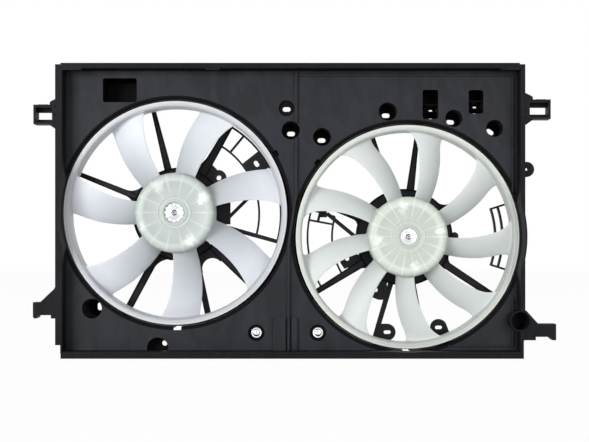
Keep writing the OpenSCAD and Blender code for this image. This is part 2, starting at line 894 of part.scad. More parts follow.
// Arms of a stay: angle, width at the ring, width at the tunnel
LEFT_ARMS = [[158.2, 10, 7], [104, 11.8, 6.5], [60, 15, 9], [-15.7, 7, 6],
    [-44.5, 13, 10], [241.7, 11.6, 11]];
RIGHT_ARMS = [[82.8, 12.8, 6.3], [108, 10, 9], [33, 11, 10], [-33.5, 12, 10.5],
    [-79.5, 8.5, 8], [253.6, 8.5, 7], [211.8, 13, 8], [157, 11, 10]];

left_slant = [polar(67, -68), polar(173, -74.2)];
left_boss = [61.3, 56.3];
left_boss_hole_r = 4;
left_ring_hole = polar(65.7, -42.7);
left_ring_hole_r = 2;
guide_in_r = 124;
guide_out_r = 157.5;
guide_w = 3;

module left_stay_face() {
    for (a = LEFT_ARMS) stay_arm(a[0], a[1], a[2]);
    bar(left_slant[0], left_slant[1], 9.5);
    root_fillet(158.2, -1, 24, left_stay_r, 4.5);
    root_fillet(158.2, 1, 20, left_stay_r, 4.5);
    root_fillet(-15.7, 1, 8, left_stay_r, 3);
    root_fillet(241.7, 1, 28, left_stay_r, 5.5);
    difference() {
        polygon([polar(60, -40), polar(98, -46), polar(98, -58.5), polar(98, -70), polar(60, -76)]);
        translate(polar(99, -58.5)) circle(16);
    }
    span(ring_in_r, 79.5, -16, 19);
    polygon([polar(60, 72), [24, 68], [42, 86], [51, 77], left_boss + [0, 10],
        left_boss + [8, 0], left_boss + [0, -9], polar(60, 38)]);
    translate(left_boss) circle(12);
}

module left_stay_guides() {
    arc_bar(guide_in_r, guide_w, -15.7, 60);
    arc_bar(guide_out_r, guide_w, -15.7, 60);
    bar(polar(guide_in_r, 50.5), polar(guide_out_r, 50.5), guide_w);
    bar([74, -8], polar(guide_in_r, 17), 5);
    intersection() {
        difference() {
            circle(guide_out_r);
            circle(guide_in_r);
        }
        slice(guide_out_r + 5, 27.5, 38.5);
    }
}

module left_motor_stay() {
    color("#2f3034") difference() {
        union() {
            slab(stay_front, stay_front + stay_t) left_stay_face();
            stay_rim();
            slab(stay_front, stay_front + 7) left_stay_guides();
            slab(stay_front, stay_back - 3) {
                for (a = LEFT_ARMS) arm_rib(a[0]);
                bar(left_slant[0], left_slant[1] * 0.985, stay_t);
            }
            translate(left_boss) drum(9, stay_front, stay_back - 3);
            translate(left_ring_hole) drum(4.5, stay_front, stay_back - 3);
            motor_ring(left_stay_r, left_motor_turn);
        }
        motor_ring_holes(left_motor_turn);
        translate(left_boss) drum(left_boss_hole_r, stay_front - eps, stay_back);
        translate(left_ring_hole) drum(left_ring_hole_r, stay_front - eps, stay_back);
        slab(stay_front - eps, stay_back) translate(polar(142.9, 33.1)) rotate(33.1 + 90)
            slot(10.5, 6.5);
    }
}

right_cage_r = [112, 150];
right_fence_r = [141.5, 152.5];
right_plate_hole = [-44.3, -81.7];
right_tab_hole = [-88.5, -33.2];
right_hole_r = 3.2;
RIGHT_TAB_ANGLES = [259.8, -69.2];
tab_slot_r = 149.5;

module right_stay_face() {
    for (a = RIGHT_ARMS) stay_arm(a[0], a[1], a[2]);
    root_fillet(33, 1, 20, right_stay_r, 5);
    root_fillet(-33.5, 1, 14, right_stay_r, 5);
    root_fillet(-33.5, -1, 12, right_stay_r, 5);
    root_fillet(211.8, 1, 14, right_stay_r, 5.5);
    root_fillet(157, 1, 13, right_stay_r, 5);
    bar([-120, 37], [-70, -4], 6);
    polygon([polar(60, 250), [-27, -72], [-27, -97], [-40, -97], [-53, -92], [-53, -74],
        polar(60, 226)]);
    polygon([[-100, -29], [-77, -25], polar(70, 205), polar(72, 212), [-93, -49], [-99, -40]]);
    translate([78, 2]) circle(6, $fn = 48);
    translate(polar(tab_slot_r, RIGHT_TAB_ANGLES[0])) circle(13);
    span(-44, -26, -159, -134);
    rotate(RIGHT_TAB_ANGLES[1]) span(tab_slot_r, tunnel_out_r - 1, -13, 13);
    translate(polar(tab_slot_r, RIGHT_TAB_ANGLES[1])) circle(13);
}

module right_stay_guides() {
    for (r = right_cage_r) arc_bar(r, guide_w, 163.5, 211);
    for (a = [163.5, 169.7]) bar(polar(right_cage_r[0], a), polar(right_cage_r[1], a), guide_w);
    bar(polar(136, 163.5), polar(136, 169.7), 4);
    translate([-125.5, 37]) square([11, 12], center = true);
    for (r = right_fence_r) arc_bar(r, guide_w, -18, 18.5);
    for (a = [-17.6, 18.1]) bar(polar(right_fence_r[0] - 1, a), polar(tunnel_out_r - 0.5, a), guide_w);
}

// Outline that holds the two drilled plates beside the ring
module right_plates_outline() {
    difference() {
        intersection() {
            circle(108.5);
            union() {
                polygon([[-76, -20], [-76, -38.5], [-104, -56.8], [-112, -20]]);
                span(-60, -34, -99, -50);
            }
        }
        circle(right_stay_r + 0.9);
    }
}

module right_stay_whole() {
    difference() {
        union() {
            slab(stay_front, stay_front + stay_t) right_stay_face();
            stay_rim();
            slab(stay_front, stay_front + 7) right_stay_guides();
            slab(stay_front, stay_back - 3) for (a = RIGHT_ARMS) arm_rib(a[0]);
            motor_ring(right_stay_r, right_motor_turn);
        }
        motor_ring_holes(right_motor_turn);
        for (p = [right_plate_hole, right_tab_hole])
            translate(p) drum(right_hole_r, stay_front - eps, stay_back);
        slab(stay_front - eps, stay_back) for (a = RIGHT_TAB_ANGLES)
            translate(polar(tab_slot_r, a)) slot(11, 5.5);
    }
}

module right_motor_stay() {
    color("#2f3034") difference() {
        right_stay_whole();
        slab(stay_front - 1, stay_back + 1) right_plates_outline();
    }
}

module right_stay_plates() {
    color("#2f3034") intersection() {
        right_stay_whole();
        slab(stay_front - 1, stay_back + 1) right_plates_outline();
    }
}

// Fans

// A blade is a loft: stations from the hub to the ring, each a thin cambered section.
// swing is 1 for the left fan, whose blades sweep clockwise, and -1 for the right one.
blade_stations = 10;
section_points = 6;
blade_root_r = hub_r - fan_wall * 0.5;
blade_tip_r = ring_r + fan_wall * 0.5;

// Shape of a fan's blades: angle at the root, sweep, root and tip width as seen from the
// front, root and tip depth, and the extra width where the tip joins the ring
LEFT_BLADE = [25.3, 10.5, 33, 55, 25, 18, 3];
RIGHT_BLADE = [-12.6, 12.4, 25, 41, 23, 16, 14];

function section_u(j) = (1 - cos(180 * j / section_points)) / 2;
function half_thickness(u) = blade_t / 2 * (0.25 + 1.5 * sqrt(u * (1 - u)));
function tip_flare(t) = pow(max(0, (t - 0.8) / 0.2), 2);

function blade_point(shape, swing, t, u, side) =
    let (r = blade_root_r + (blade_tip_r - blade_root_r) * t,
        w = shape[2] + (shape[3] - shape[2]) * t + shape[6] * tip_flare(t),
        h = shape[4] + (shape[5] - shape[4]) * t,
        chord = norm([w, h]),
        off = 4 * blade_camber * u * (1 - u) + side * half_thickness(u),
        along = (u - 0.5) * w + off * h / chord,
        depth = hub_back / 2 + (u - 0.5) * h - off * w / chord,
        a = shape[0] - swing * shape[1] * pow(t, 1.55) + swing * along / r * 180 / PI)
    [r * cos(a), r * sin(a), -depth];

function blade_ring(shape, swing, t) = concat(
    [for (j = [0 : section_points]) blade_point(shape, swing, t, section_u(j), 1)],
    [for (j = [section_points : -1 : 0]) blade_point(shape, swing, t, section_u(j), -1)]);

module blade(shape, swing) {
    n = 2 * section_points + 2;
    points = [for (i = [0 : blade_stations]) each blade_ring(shape, swing, i / blade_stations)];
    last = blade_stations * n;
    quads = [for (i = [0 : blade_stations - 1], j = [0 : n - 1])
        let (a = i * n + j, b = i * n + (j + 1) % n) [a, b, b + n, a + n]];
    sides = [for (q = quads) each [[q[0], q[1], q[2]], [q[0], q[2], q[3]]]];
    ends = [for (j = [0 : section_points - 1]) each [
        [j, n - 1 - j, j + 1], [j + 1, n - 1 - j, n - 2 - j],
        [last + j, last + j + 1, last + n - 1 - j],
        [last + j + 1, last + n - 2 - j, last + n - 1 - j]]];
    faces = concat(sides, ends);
    polyhedron(points, swing > 0 ? faces : [for (f = faces) [f[2], f[1], f[0]]]);
}

// Section of a cup with a rounded front edge: x is the radius, y points forward
module cup_section(r, from, to, corner) {
    translate([0, -to]) square([r, to - from - corner]);
    translate([0, -from - corner]) square([r - corner, corner]);
    translate([r - corner, -from - corner]) circle(corner, $fn = 64);
}

module hub(recess_r, ribs) {
    rotate_extrude() difference() {
        intersection() {
            union() {
                difference() {
                    cup_section(hub_r, hub_front, hub_back, hub_round);
                    cup_section(hub_r - fan_wall, hub_face_back, hub_back + eps,
                        hub_round - fan_wall);
                }
                translate([0, -insert_back]) square([boss_r, insert_back - hub_front - 1]);
                translate([47, -hub_front]) circle(0.8, $fn = 24);
                translate([24.5, -hub_front]) circle(0.8, $fn = 24);
            }
            translate([0, -hub_back - 1]) square([hub_r + 1, hub_back - hub_front + 3]);
        }
        translate([-1, -recess_floor]) square([recess_r + 1, recess_depth + 2]);
        translate([-1, -insert_back - eps]) square([insert_r + 1, insert_back + eps - recess_floor + 1]);
    }
    for (i = [0 : ribs - 1]) rotate(i * 360 / ribs) slab(hub_face_back - eps, 0)
        span(boss_r - eps, hub_r - hub_round - 1, -0.7, 0.7);
}

// Ring round the blade tips: a tube with a lip flared forward and outward
module fan_ring() {
    back = ring_front + ring_depth;
    rotate_extrude() {
        translate([ring_r, -back]) square([fan_wall, ring_depth - 3]);
        translate([ring_r + 3, -ring_front - fan_wall]) square([fan_r - ring_r - 3, fan_wall]);
        difference() {
            intersection() {
                translate([ring_r + 3, -ring_front - 3]) circle(3, $fn = 48);
                translate([ring_r, -ring_front - 3]) square(3);
            }
            translate([ring_r + 3, -ring_front - 3]) circle(0.5, $fn = 48);
        }
    }
}

module fan(shape, swing, blades, recess_r) {
    hub(recess_r, 2 * blades);
    fan_ring();
    for (i = [0 : blades - 1]) rotate(i * 360 / blades) blade(shape, swing);
}

module left_fan() {
    color("#e3e7e8") fan(LEFT_BLADE, 1, left_blades, left_recess_r);
}

module right_fan() {
    color("#e0e8e0") fan(RIGHT_BLADE, -1, right_blades, right_recess_r);
}

module fan_insert() {
    color("#b9bcc0") pipe(insert_r, shaft_r, recess_floor, insert_back);
}

washer_t = 1.2;
washer_teeth = 12;
washer_r = 12.6;
tooth_l = 1.9;
module lock_washer() {
    color("#d5d7da") difference() {
        slab(recess_floor - washer_t, recess_floor) {
            circle(washer_r);
            for (i = [0 : washer_teeth - 1]) rotate(i * 360 / washer_teeth)
                polygon([[washer_r - 1, -2.3], [washer_r + tooth_l, -1.2],
                    [washer_r + tooth_l, 1.2], [washer_r - 1, 2.3]]);
        }
        drum(shaft_r, recess_floor - washer_t - eps, recess_floor + eps);
    }
}

nut_h = 4;
nut_flat_r = 7.5;
module shaft_nut(flange_r, seat) {
    color("#c9ccd0") difference() {
        union() {
            drum(flange_r, seat - 1.5, seat);
            translate([0, 0, -seat]) cylinder(r = nut_flat_r, h = nut_h, $fn = 6);
        }
        drum(shaft_r, seat - nut_h - eps, seat + eps);
    }
}

// Motors

module motor_shaft() {
    color("#a9acb0") drum(shaft_r, shaft_tip, shaft_end);
}

module motor_case(turn) {
    color("#2a2b2e") difference() {
        union() {
            drum(motor_r, motor_front, motor_back);
            drum(bearing_r + 3, bearing_front - 1.5, motor_front + eps);
            rotate(turn) for (i = [0 : 2]) rotate(i * 120) slab(stay_back, stay_back + ear_t) {
                translate([motor_screw_pcr, 0]) circle(7.5);
                span(motor_r - 4, motor_screw_pcr, -7.5, 7.5);
            }
        }
        drum(motor_r - motor_wall, motor_front + motor_wall, motor_back + eps);
        drum(bearing_r, bearing_front, motor_front + motor_wall + eps);
        drum(bearing_r - 2.5, bearing_front - 2, bearing_front + eps);
        rotate(turn) for (i = [0 : 2]) rotate(i * 120) translate([motor_screw_pcr, 0])
            drum(motor_screw_r, stay_back - eps, stay_back + ear_t + eps);
    }
}

cover_lip_r = motor_r - 2 * motor_wall;
module motor_end_cover() {
    color("#4a4b4f") difference() {
        union() {
            drum(motor_r, motor_back, motor_back + end_cover_t);
            drum(motor_r - motor_wall, motor_back - 3, motor_back + eps);
            drum(bearing_r + 3, motor_back, motor_back + end_cover_t + rear_boss);
        }
        drum(cover_lip_r, motor_back - 3 - eps, motor_back);
        drum(bearing_r, motor_back - 1, rear_bearing_front + bearing_w);
    }
}

module ball_bearing(from) {
    color("#c4c7ca") difference() {
        pipe(bearing_r, shaft_r + shaft_clear, from, from + bearing_w);
        for (d = [from - eps, from + bearing_w - 0.5]) pipe(bearing_r - 2, shaft_r + 2, d, d + 0.5 + eps);
    }
}

magnet_front = motor_front + 7;
magnet_back = magnet_front + motor_len - 22;
module magnets() {
    color("#55565a") for (a = [0, 180]) rotate(a) slab(magnet_front, magnet_back)
        arc_bar(motor_r - motor_wall - magnet_t / 2, magnet_t, -68, 68);
}

core_front = magnet_front + 3;
core_back = magnet_back - 3;
slot_r = 4;
module armature_slots_2d(r, w) {
    for (i = [0 : armature_slots - 1]) rotate(i * 360 / armature_slots) {
        translate([armature_r * 0.72, 0]) circle(r, $fn = 32);
        span(armature_r * 0.72, armature_r + 1, -w / 2, w / 2);
    }
}

module armature_core() {
    color("#6e7074") slab(core_front, core_back) difference() {
        circle(armature_r);
        circle(shaft_r);
        armature_slots_2d(slot_r, 2.5);
    }
}

module armature_winding() {
    color("#b5652c") {
        for (d = [core_front - 5, core_back]) pipe(armature_r * 0.86, armature_r * 0.45, d, d + 5);
        slab(core_front, core_back) for (i = [0 : armature_slots - 1])
            rotate(i * 360 / armature_slots) translate([armature_r * 0.72, 0]) circle(slot_r - 0.3, $fn = 32);
    }
}

commutator_front = core_back + 7;
commutator_back = commutator_front + 9;
module commutator() {
    color("#b87333") difference() {
        pipe(commutator_r, shaft_r, commutator_front, commutator_back);
        for (i = [0 : armature_slots - 1]) rotate(i * 360 / armature_slots)
            slab(commutator_front - eps, commutator_back + eps)
                span(commutator_r - 1.2, commutator_r + 1, -0.4, 0.4);
    }
}

brush_gap = 0.3;
brush_l = 22;
brush_w = 10;
brush_plate_front = commutator_front + 6;
holder_gap = 0.2;
module brush_holder() {
    color("#3d3327") difference() {
        union() {
            pipe(cover_lip_r - holder_gap, commutator_r + brush_w, brush_plate_front, motor_back);
            for (a = [45, 225]) rotate(a) slab(commutator_front + 1, brush_plate_front + eps)
                span(commutator_r + brush_gap, commutator_r + brush_l, -brush_w / 2, brush_w / 2);
        }
        drum(commutator_r + brush_gap, commutator_front, motor_back);
    }
}

// Plug socket on the end cover, which opens towards the rim
socket_w = 26;
socket_l = 26;
module motor_socket(turn) {
    back = motor_back + end_cover_t;
    color("#26272a") rotate(turn) difference() {
        slab(back, back + socket_rise) rounded_span(motor_r - socket_l, motor_r + 2,
            -socket_w / 2, socket_w / 2, 2);
        slab(back + 2, back + socket_rise - 2)
            span(motor_r - socket_l + 6, motor_r + 3, -socket_w / 2 + 2, socket_w / 2 - 2);
    }
    color("#c9a227") rotate(turn) for (y = [-5, 5]) slab(back + 5.5, back + 8.5)
        span(motor_r - socket_l + 6, motor_r - 5, y - 1.5, y + 1.5);
}

motor_screw_head = 3.5;
module motor_screws(turn) {
    seat = stay_back + ear_t;
    color("#c7cacd") rotate(turn) for (i = [0 : 2]) rotate(i * 120)
        translate([motor_screw_pcr, 0]) difference() {
            union() {
                drum(5.5, seat, seat + motor_screw_head);
                drum(motor_screw_r, stay_front + stay_t + 1, seat);
            }
            slab(seat + 1.5, seat + motor_screw_head + eps) circle(2.6, $fn = 6);
        }
}

// Controller behind the panel screws

controller_x = screw_mid_x;
controller_y1 = screw_y - controller_h / 2;
controller_front = screw_boss_back;
controller_mid = controller_front + controller_d;
sink_t = 4;
fins = 9;

module controller_ears() {
    for (x = panel_screws_x) {
        translate([x, screw_y]) circle(9);
        span(min(x, controller_x), max(x, controller_x), screw_y - 9, screw_y + 9);
    }
}

module controller_housing() {
    x1 = controller_x - controller_w / 2;
    x2 = controller_x + controller_w / 2;
    y2 = controller_y1 + controller_h;
    color("#2d2e32") difference() {
        union() {
            slab(controller_front, controller_mid) rounded_span(x1, x2, controller_y1, y2, 4);
            slab(controller_front, controller_front + 4) controller_ears();
            for (x = [x1 + 18, x2 - 18]) slab(controller_front + 2, controller_mid - 1)
                span(x - 12, x + 12, y2 - eps, y2 + 12);
        }
        slab(controller_front + wall, controller_mid + eps)
            rounded_span(x1 + wall, x2 - wall, controller_y1 + wall, y2 - wall, 2);
        for (x = [x1 + 18, x2 - 18]) slab(controller_front + 4, controller_mid - 3)
            span(x - 10, x + 10, y2 + 1, y2 + 13);
        for (x = panel_screws_x) translate([x, screw_y])
            drum(screw_shank_r, controller_front - eps, controller_front + 4 + eps);
    }
}

module controller_board() {
    color("#2f6b3c") slab(controller_mid - 3.6, controller_mid - 2) rounded_span(
        controller_x - controller_w / 2 + wall, controller_x + controller_w / 2 - wall,
        controller_y1 + wall, controller_y1 + controller_h - wall, 2);
}

module controller_heat_sink() {
    x1 = controller_x - controller_w / 2;
    pitch = (controller_w - 4) / (fins - 1);
    color("#a4a7ab") {
        slab(controller_mid, controller_mid + sink_t)
            rounded_span(x1, x1 + controller_w, controller_y1, controller_y1 + controller_h, 4);
        for (i = [0 : fins - 1]) slab(controller_mid + sink_t - eps, controller_mid + sink_t + fin_h)
            span(x1 + 1 + i * pitch, x1 + 3 + i * pitch, controller_y1 + 4,
                controller_y1 + controller_h - 4);
    }
}

module panel_screws() {
    seat = screw_recess_depth;
    color("#cfd2d4") for (x = panel_screws_x) translate([x, screw_y]) difference() {
        union() {
            translate([0, 0, -seat]) cylinder(r1 = screw_head_r, r2 = screw_head_r - 1.6, h = 4);
            drum(screw_shank_r, seat - eps, controller_front + 7);
        }
        slab(seat - 5, seat - 2) {
            square([6, 1.4], center = true);
            square([1.4, 6], center = true);
        }
    }
}

stand_up() shroud_panel();
stand_up() upper_left_floor();
stand_up() upper_right_floor();
stand_up() floor_ribs();
stand_up() tunnel(left_c, -1, LEFT_DRAIN);  // left_tunnel
stand_up() tunnel(right_c, 1, RIGHT_DRAIN);  // right_tunnel
stand_up() side_rim(-1);  // left_rim
stand_up() side_rim(1);  // right_rim
stand_up() top_rim();
stand_up() bottom_rim();
stand_up() left_tabs();
stand_up() right_tabs();
stand_up() side_boss_plate();
stand_up() tube_socket();
stand_up() fastener_pockets();
stand_up() window_boxes();
stand_up() screw_seats();
stand_up() back_ribs();
stand_up() gussets();
at_left() left_motor_stay();
at_right() right_motor_stay();
at_right() right_stay_plates();
at_left() left_fan();
at_right() right_fan();
at_left() fan_insert();  // left_fan_insert
at_right() fan_insert();  // right_fan_insert
at_left() lock_washer();  // left_lock_washer
at_left() shaft_nut(10, recess_floor - washer_t);  // left_shaft_nut
at_right() shaft_nut(12.5, recess_floor);  // right_shaft_nut
stand_up() panel_screws();
stand_up() controller_housing();
stand_up() controller_board();
stand_up() controller_heat_sink();
at_left() motor_case(left_motor_turn);  // left_motor_case
at_left() motor_end_cover();  // left_motor_end_cover
at_left() motor_shaft();  // left_motor_shaft
at_left() armature_core();  // left_armature_core
at_left() armature_winding();  // left_armature_winding
at_left() commutator();  // left_commutator
at_left() magnets();  // left_magnets
at_left() ball_bearing(bearing_front);  // left_front_bearing
at_left() ball_bearing(rear_bearing_front);  // left_rear_bearing
at_left() brush_holder();  // left_brush_holder
at_left() motor_socket(-90);  // left_motor_socket
at_left() motor_screws(left_motor_turn);  // left_motor_screws
at_right() motor_case(right_motor_turn);  // right_motor_case
at_right() motor_end_cover();  // right_motor_end_cover
at_right() motor_shaft();  // right_motor_shaft
at_right() armature_core();  // right_armature_core
at_right() armature_winding();  // right_armature_winding
at_right() commutator();  // right_commutator
at_right() magnets();  // right_magnets
at_right() ball_bearing(bearing_front);  // right_front_bearing
at_right() ball_bearing(rear_bearing_front);  // right_rear_bearing
at_right() brush_holder();  // right_brush_holder
at_right() motor_socket(-90);  // right_motor_socket
at_right() motor_screws(right_motor_turn);  // right_motor_screws
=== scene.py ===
"""A twin radiator fan pack, seen square from the front: a black moulded shroud with a
seven-blade and a nine-blade fan of milky plastic, their motors, stays and controller.

Sizes are in millimetres until a mesh is made. Depths are measured rearward from the front
face of the shroud's floor, and angles counterclockwise from the right, seen from the front.
"""

import math
from collections import namedtuple

import bmesh
import bpy
from mathutils import Matrix, Vector


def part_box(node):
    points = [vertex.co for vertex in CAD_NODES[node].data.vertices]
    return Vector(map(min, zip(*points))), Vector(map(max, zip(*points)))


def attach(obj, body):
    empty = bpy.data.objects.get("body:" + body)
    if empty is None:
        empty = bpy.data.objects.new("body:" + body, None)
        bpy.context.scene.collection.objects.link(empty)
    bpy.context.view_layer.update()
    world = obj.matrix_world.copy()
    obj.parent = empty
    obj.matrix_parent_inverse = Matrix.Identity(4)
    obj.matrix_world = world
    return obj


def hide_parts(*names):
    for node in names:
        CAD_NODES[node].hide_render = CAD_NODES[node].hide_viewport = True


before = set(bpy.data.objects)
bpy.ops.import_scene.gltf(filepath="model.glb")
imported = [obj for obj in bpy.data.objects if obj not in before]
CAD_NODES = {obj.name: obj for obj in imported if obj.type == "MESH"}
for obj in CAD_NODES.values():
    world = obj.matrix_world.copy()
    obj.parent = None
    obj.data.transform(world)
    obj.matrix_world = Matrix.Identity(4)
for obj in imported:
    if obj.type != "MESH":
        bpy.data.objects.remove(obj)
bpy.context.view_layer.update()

MM = 0.001
CREASE = math.radians(35)  # a sharper corner than this stays an edge
WHITE = (1.0, 1.0, 1.0, 1.0)


def in_mm(metres):
    """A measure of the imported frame, to a hundredth of a millimetre."""
    return round(metres / MM, 2)


def middle(node):
    """X and height of a node's middle."""
    low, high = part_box(node)
    return in_mm((low[0] + high[0]) / 2), in_mm((low[2] + high[2]) / 2)


fan_low, fan_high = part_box("left_fan")
WHEEL_R = in_mm(fan_high[0] - fan_low[0]) / 2
LEFT_AXIS = middle("left_fan")
RIGHT_AXIS = middle("right_fan")
FLOOR_DEPTH = -in_mm(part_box("shroud_panel")[0][1])  # from the part's middle to the floor

HUB_R = 60.0
HUB_FRONT = -10.0
HUB_BACK = 30.0
HUB_SHOULDER = 9.0
WHEEL_WALL = 2.5
RING_R = 159.0
RING_FRONT = 1.0
RING_BACK = 29.0
RECESS_FLOOR = -6.0
BOSS_R = 20.0
BOSS_BACK = 8.0
INSERT_R = 12.0
FACE_BEAD_R = 49.2
BORE_R = 4.05  # washer and nuts, round the shaft

BLADE_T = 3.0
BLADE_CAMBER = 2.6
SWEEP_POWER = 1.55  # a blade sweeps more and more towards the ring
FLARE_FROM = 0.8  # share of a blade's length from which its tip widens
ROOT_ROUND = 2.4  # concave corner between a blade and the hub
TIP_ROUND = 3.6  # concave corner between a blade and the ring


# The maker's small tools


def colour(code):
    """The linear colour of an sRGB hex value."""
    parts = [int(code[i : i + 2], 16) / 255 for i in (1, 3, 5)]
    return (*(p / 12.92 if p <= 0.04045 else ((p + 0.055) / 1.055) ** 2.4 for p in parts), 1.0)


def link_inputs(tree, node, inputs):
    """Each input takes a value, a node's output, or the first output of a node."""
    for name, value in inputs.items():
        socket = node.inputs[name]
        if isinstance(value, bpy.types.Node):
            value = value.outputs[0]
        if isinstance(value, bpy.types.NodeSocket):
            tree.links.new(value, socket)
        else:
            socket.default_value = value


def add_node(tree, kind, inputs=None, **settings):
    """One node with its settings and links."""
    node = tree.nodes.new(kind)
    for name, value in settings.items():
        setattr(node, name, value)
    link_inputs(tree, node, inputs or {})
    return node


def new_object(name, data):
    """An object of this mesh, camera or lamp, in the scene."""
    made = bpy.data.objects.new(name, data)
    bpy.context.scene.collection.objects.link(made)
    return made


def mesh_object(name, points, faces, material=None):
    """A piece from points in millimetres: doubles merged, faces outward, round parts smooth."""
    mesh = bpy.data.meshes.new(name)
    mesh.from_pydata([tuple(MM * c for c in p) for p in points], [], faces)
    shape = bmesh.new()
    shape.from_mesh(mesh)
    bmesh.ops.remove_doubles(shape, verts=shape.verts, dist=0.01 * MM)
    bmesh.ops.recalc_face_normals(shape, faces=shape.faces)
    shape.to_mesh(mesh)
    shape.free()
    mesh.shade_smooth()
    mesh.set_sharp_from_angle(angle=CREASE)
    if material:
        mesh.materials.append(material)
    return new_object(name, mesh)


def turned(profile, steps=192, start=0.0, end=360.0, growth=None):
    """Points and faces of a closed outline of radius and depth, turned round the fan's axis.
    growth gives how much further out than its radius a point stands at each angle."""
    whole = end - start >= 360.0
    count = len(profile)
    rings = steps if whole else steps + 1
    points = []
    for i in range(rings):
        a = math.radians(start + (end - start) * i / steps)
        for r, depth in profile:
            if growth:
                r += growth(r, a)
            points.append((r * math.cos(a), depth, r * math.sin(a)))
    faces = []
    for i in range(steps):
        j = (i + 1) % rings
        for k in range(count):
            m = (k + 1) % count
            faces.append((i * count + k, i * count + m, j * count + m, j * count + k))
    if not whole:
        faces.append(tuple(range(count)))
        faces.append(tuple(range((rings - 1) * count, rings * count)))
    return points, faces


def arc(centre_r, centre_depth, radius, start, end, steps=8):
    """Points of an outline's round corner; 0 degrees points outward and 90 to the rear."""
    angles = [math.radians(start + (end - start) * i / steps) for i in range(steps + 1)]
    return [(centre_r + radius * math.cos(a), centre_depth + radius * math.sin(a)) for a in angles]


def joined(name, pieces):
    """One plain mesh from several pieces that share a material."""
    shape = bmesh.new()
    for piece in pieces:
        shape.from_mesh(piece.data)
    mesh = bpy.data.meshes.new(name)
    shape.to_mesh(mesh)
    shape.free()
    mesh.set_sharp_from_angle(angle=CREASE)
    for material in pieces[0].data.materials:
        mesh.materials.append(material)
    for piece in pieces:
        bpy.data.objects.remove(piece)
    return new_object(name, mesh)


def put_on_axis(piece, axis):
    """Moves a piece drawn round the origin, at the shroud floor's depth, onto a fan's axis."""
    piece.data.transform(Matrix.Translation(Vector((axis[0], -FLOOR_DEPTH, axis[1])) * MM))
    return piece


# Geometry Nodes: copies of a piece turned round the fan's axis


def round_copies_tree():
    """Copies spaced evenly, counterclockwise from where the piece is drawn."""
    tree = bpy.data.node_groups.new("copies_round_the_axis", "GeometryNodeTree")
    for name, kind in (
        ("Piece", "NodeSocketGeometry"),
        ("Copies", "NodeSocketInt"),
        ("Finish", "NodeSocketMaterial"),
    ):
        tree.interface.new_socket(name, in_out="INPUT", socket_type=kind)
    tree.interface.new_socket("Copies made", in_out="OUTPUT", socket_type="NodeSocketGeometry")
    given = add_node(tree, "NodeGroupInput").outputs
    step = add_node(
        tree, "ShaderNodeMath", {0: -2 * math.pi, 1: given["Copies"]}, operation="DIVIDE"
    )
    index = add_node(tree, "GeometryNodeInputIndex")
    turn = add_node(tree, "ShaderNodeMath", {0: index, 1: step}, operation="MULTIPLY")
    spin = add_node(tree, "ShaderNodeCombineXYZ", {"Y": turn})
    places = add_node(tree, "GeometryNodePoints", {"Count": given["Copies"]})
    copies = add_node(
        tree,
        "GeometryNodeInstanceOnPoints",
        {"Points": places, "Instance": given["Piece"], "Rotation": spin},
    )
    real = add_node(tree, "GeometryNodeRealizeInstances", {"Geometry": copies})
    dressed = add_node(
        tree, "GeometryNodeSetMaterial", {"Geometry": real, "Material": given["Finish"]}
    )
    add_node(tree, "NodeGroupOutput", {0: dressed})
    return tree


ROUND_COPIES = round_copies_tree()


def copied_round(piece, count, material):
    """The piece repeated round the axis by Geometry Nodes, as a plain mesh."""
    modifier = piece.modifiers.new("round", "NODES")
    modifier.node_group = ROUND_COPIES
    values = {"Copies": count, "Finish": material}
    for item in ROUND_COPIES.interface.items_tree:
        if item.in_out == "INPUT" and item.name in values:
            modifier[item.identifier] = values[item.name]
    mesh = bpy.data.meshes.new_from_object(
        piece.evaluated_get(bpy.context.evaluated_depsgraph_get())
    )
    mesh.materials.clear()
    mesh.materials.append(material)
    mesh.polygons.foreach_set("material_index", [0] * len(mesh.polygons))
    mesh.set_sharp_from_angle(angle=CREASE)
    whole = new_object(piece.name, mesh)
    bpy.data.objects.remove(piece)
    return whole


# Finishes


def start_finish(name, sockets):
    """A material with its node tree, its shader, and Object coordinates."""
    material = bpy.data.materials.new(name)
    material.use_nodes = True
    tree = material.node_tree
    shader = tree.nodes["Principled BSDF"]
    link_inputs(tree, shader, sockets)
    place = add_node(tree, "ShaderNodeTexCoord").outputs["Object"]
    return material, tree, shader, place


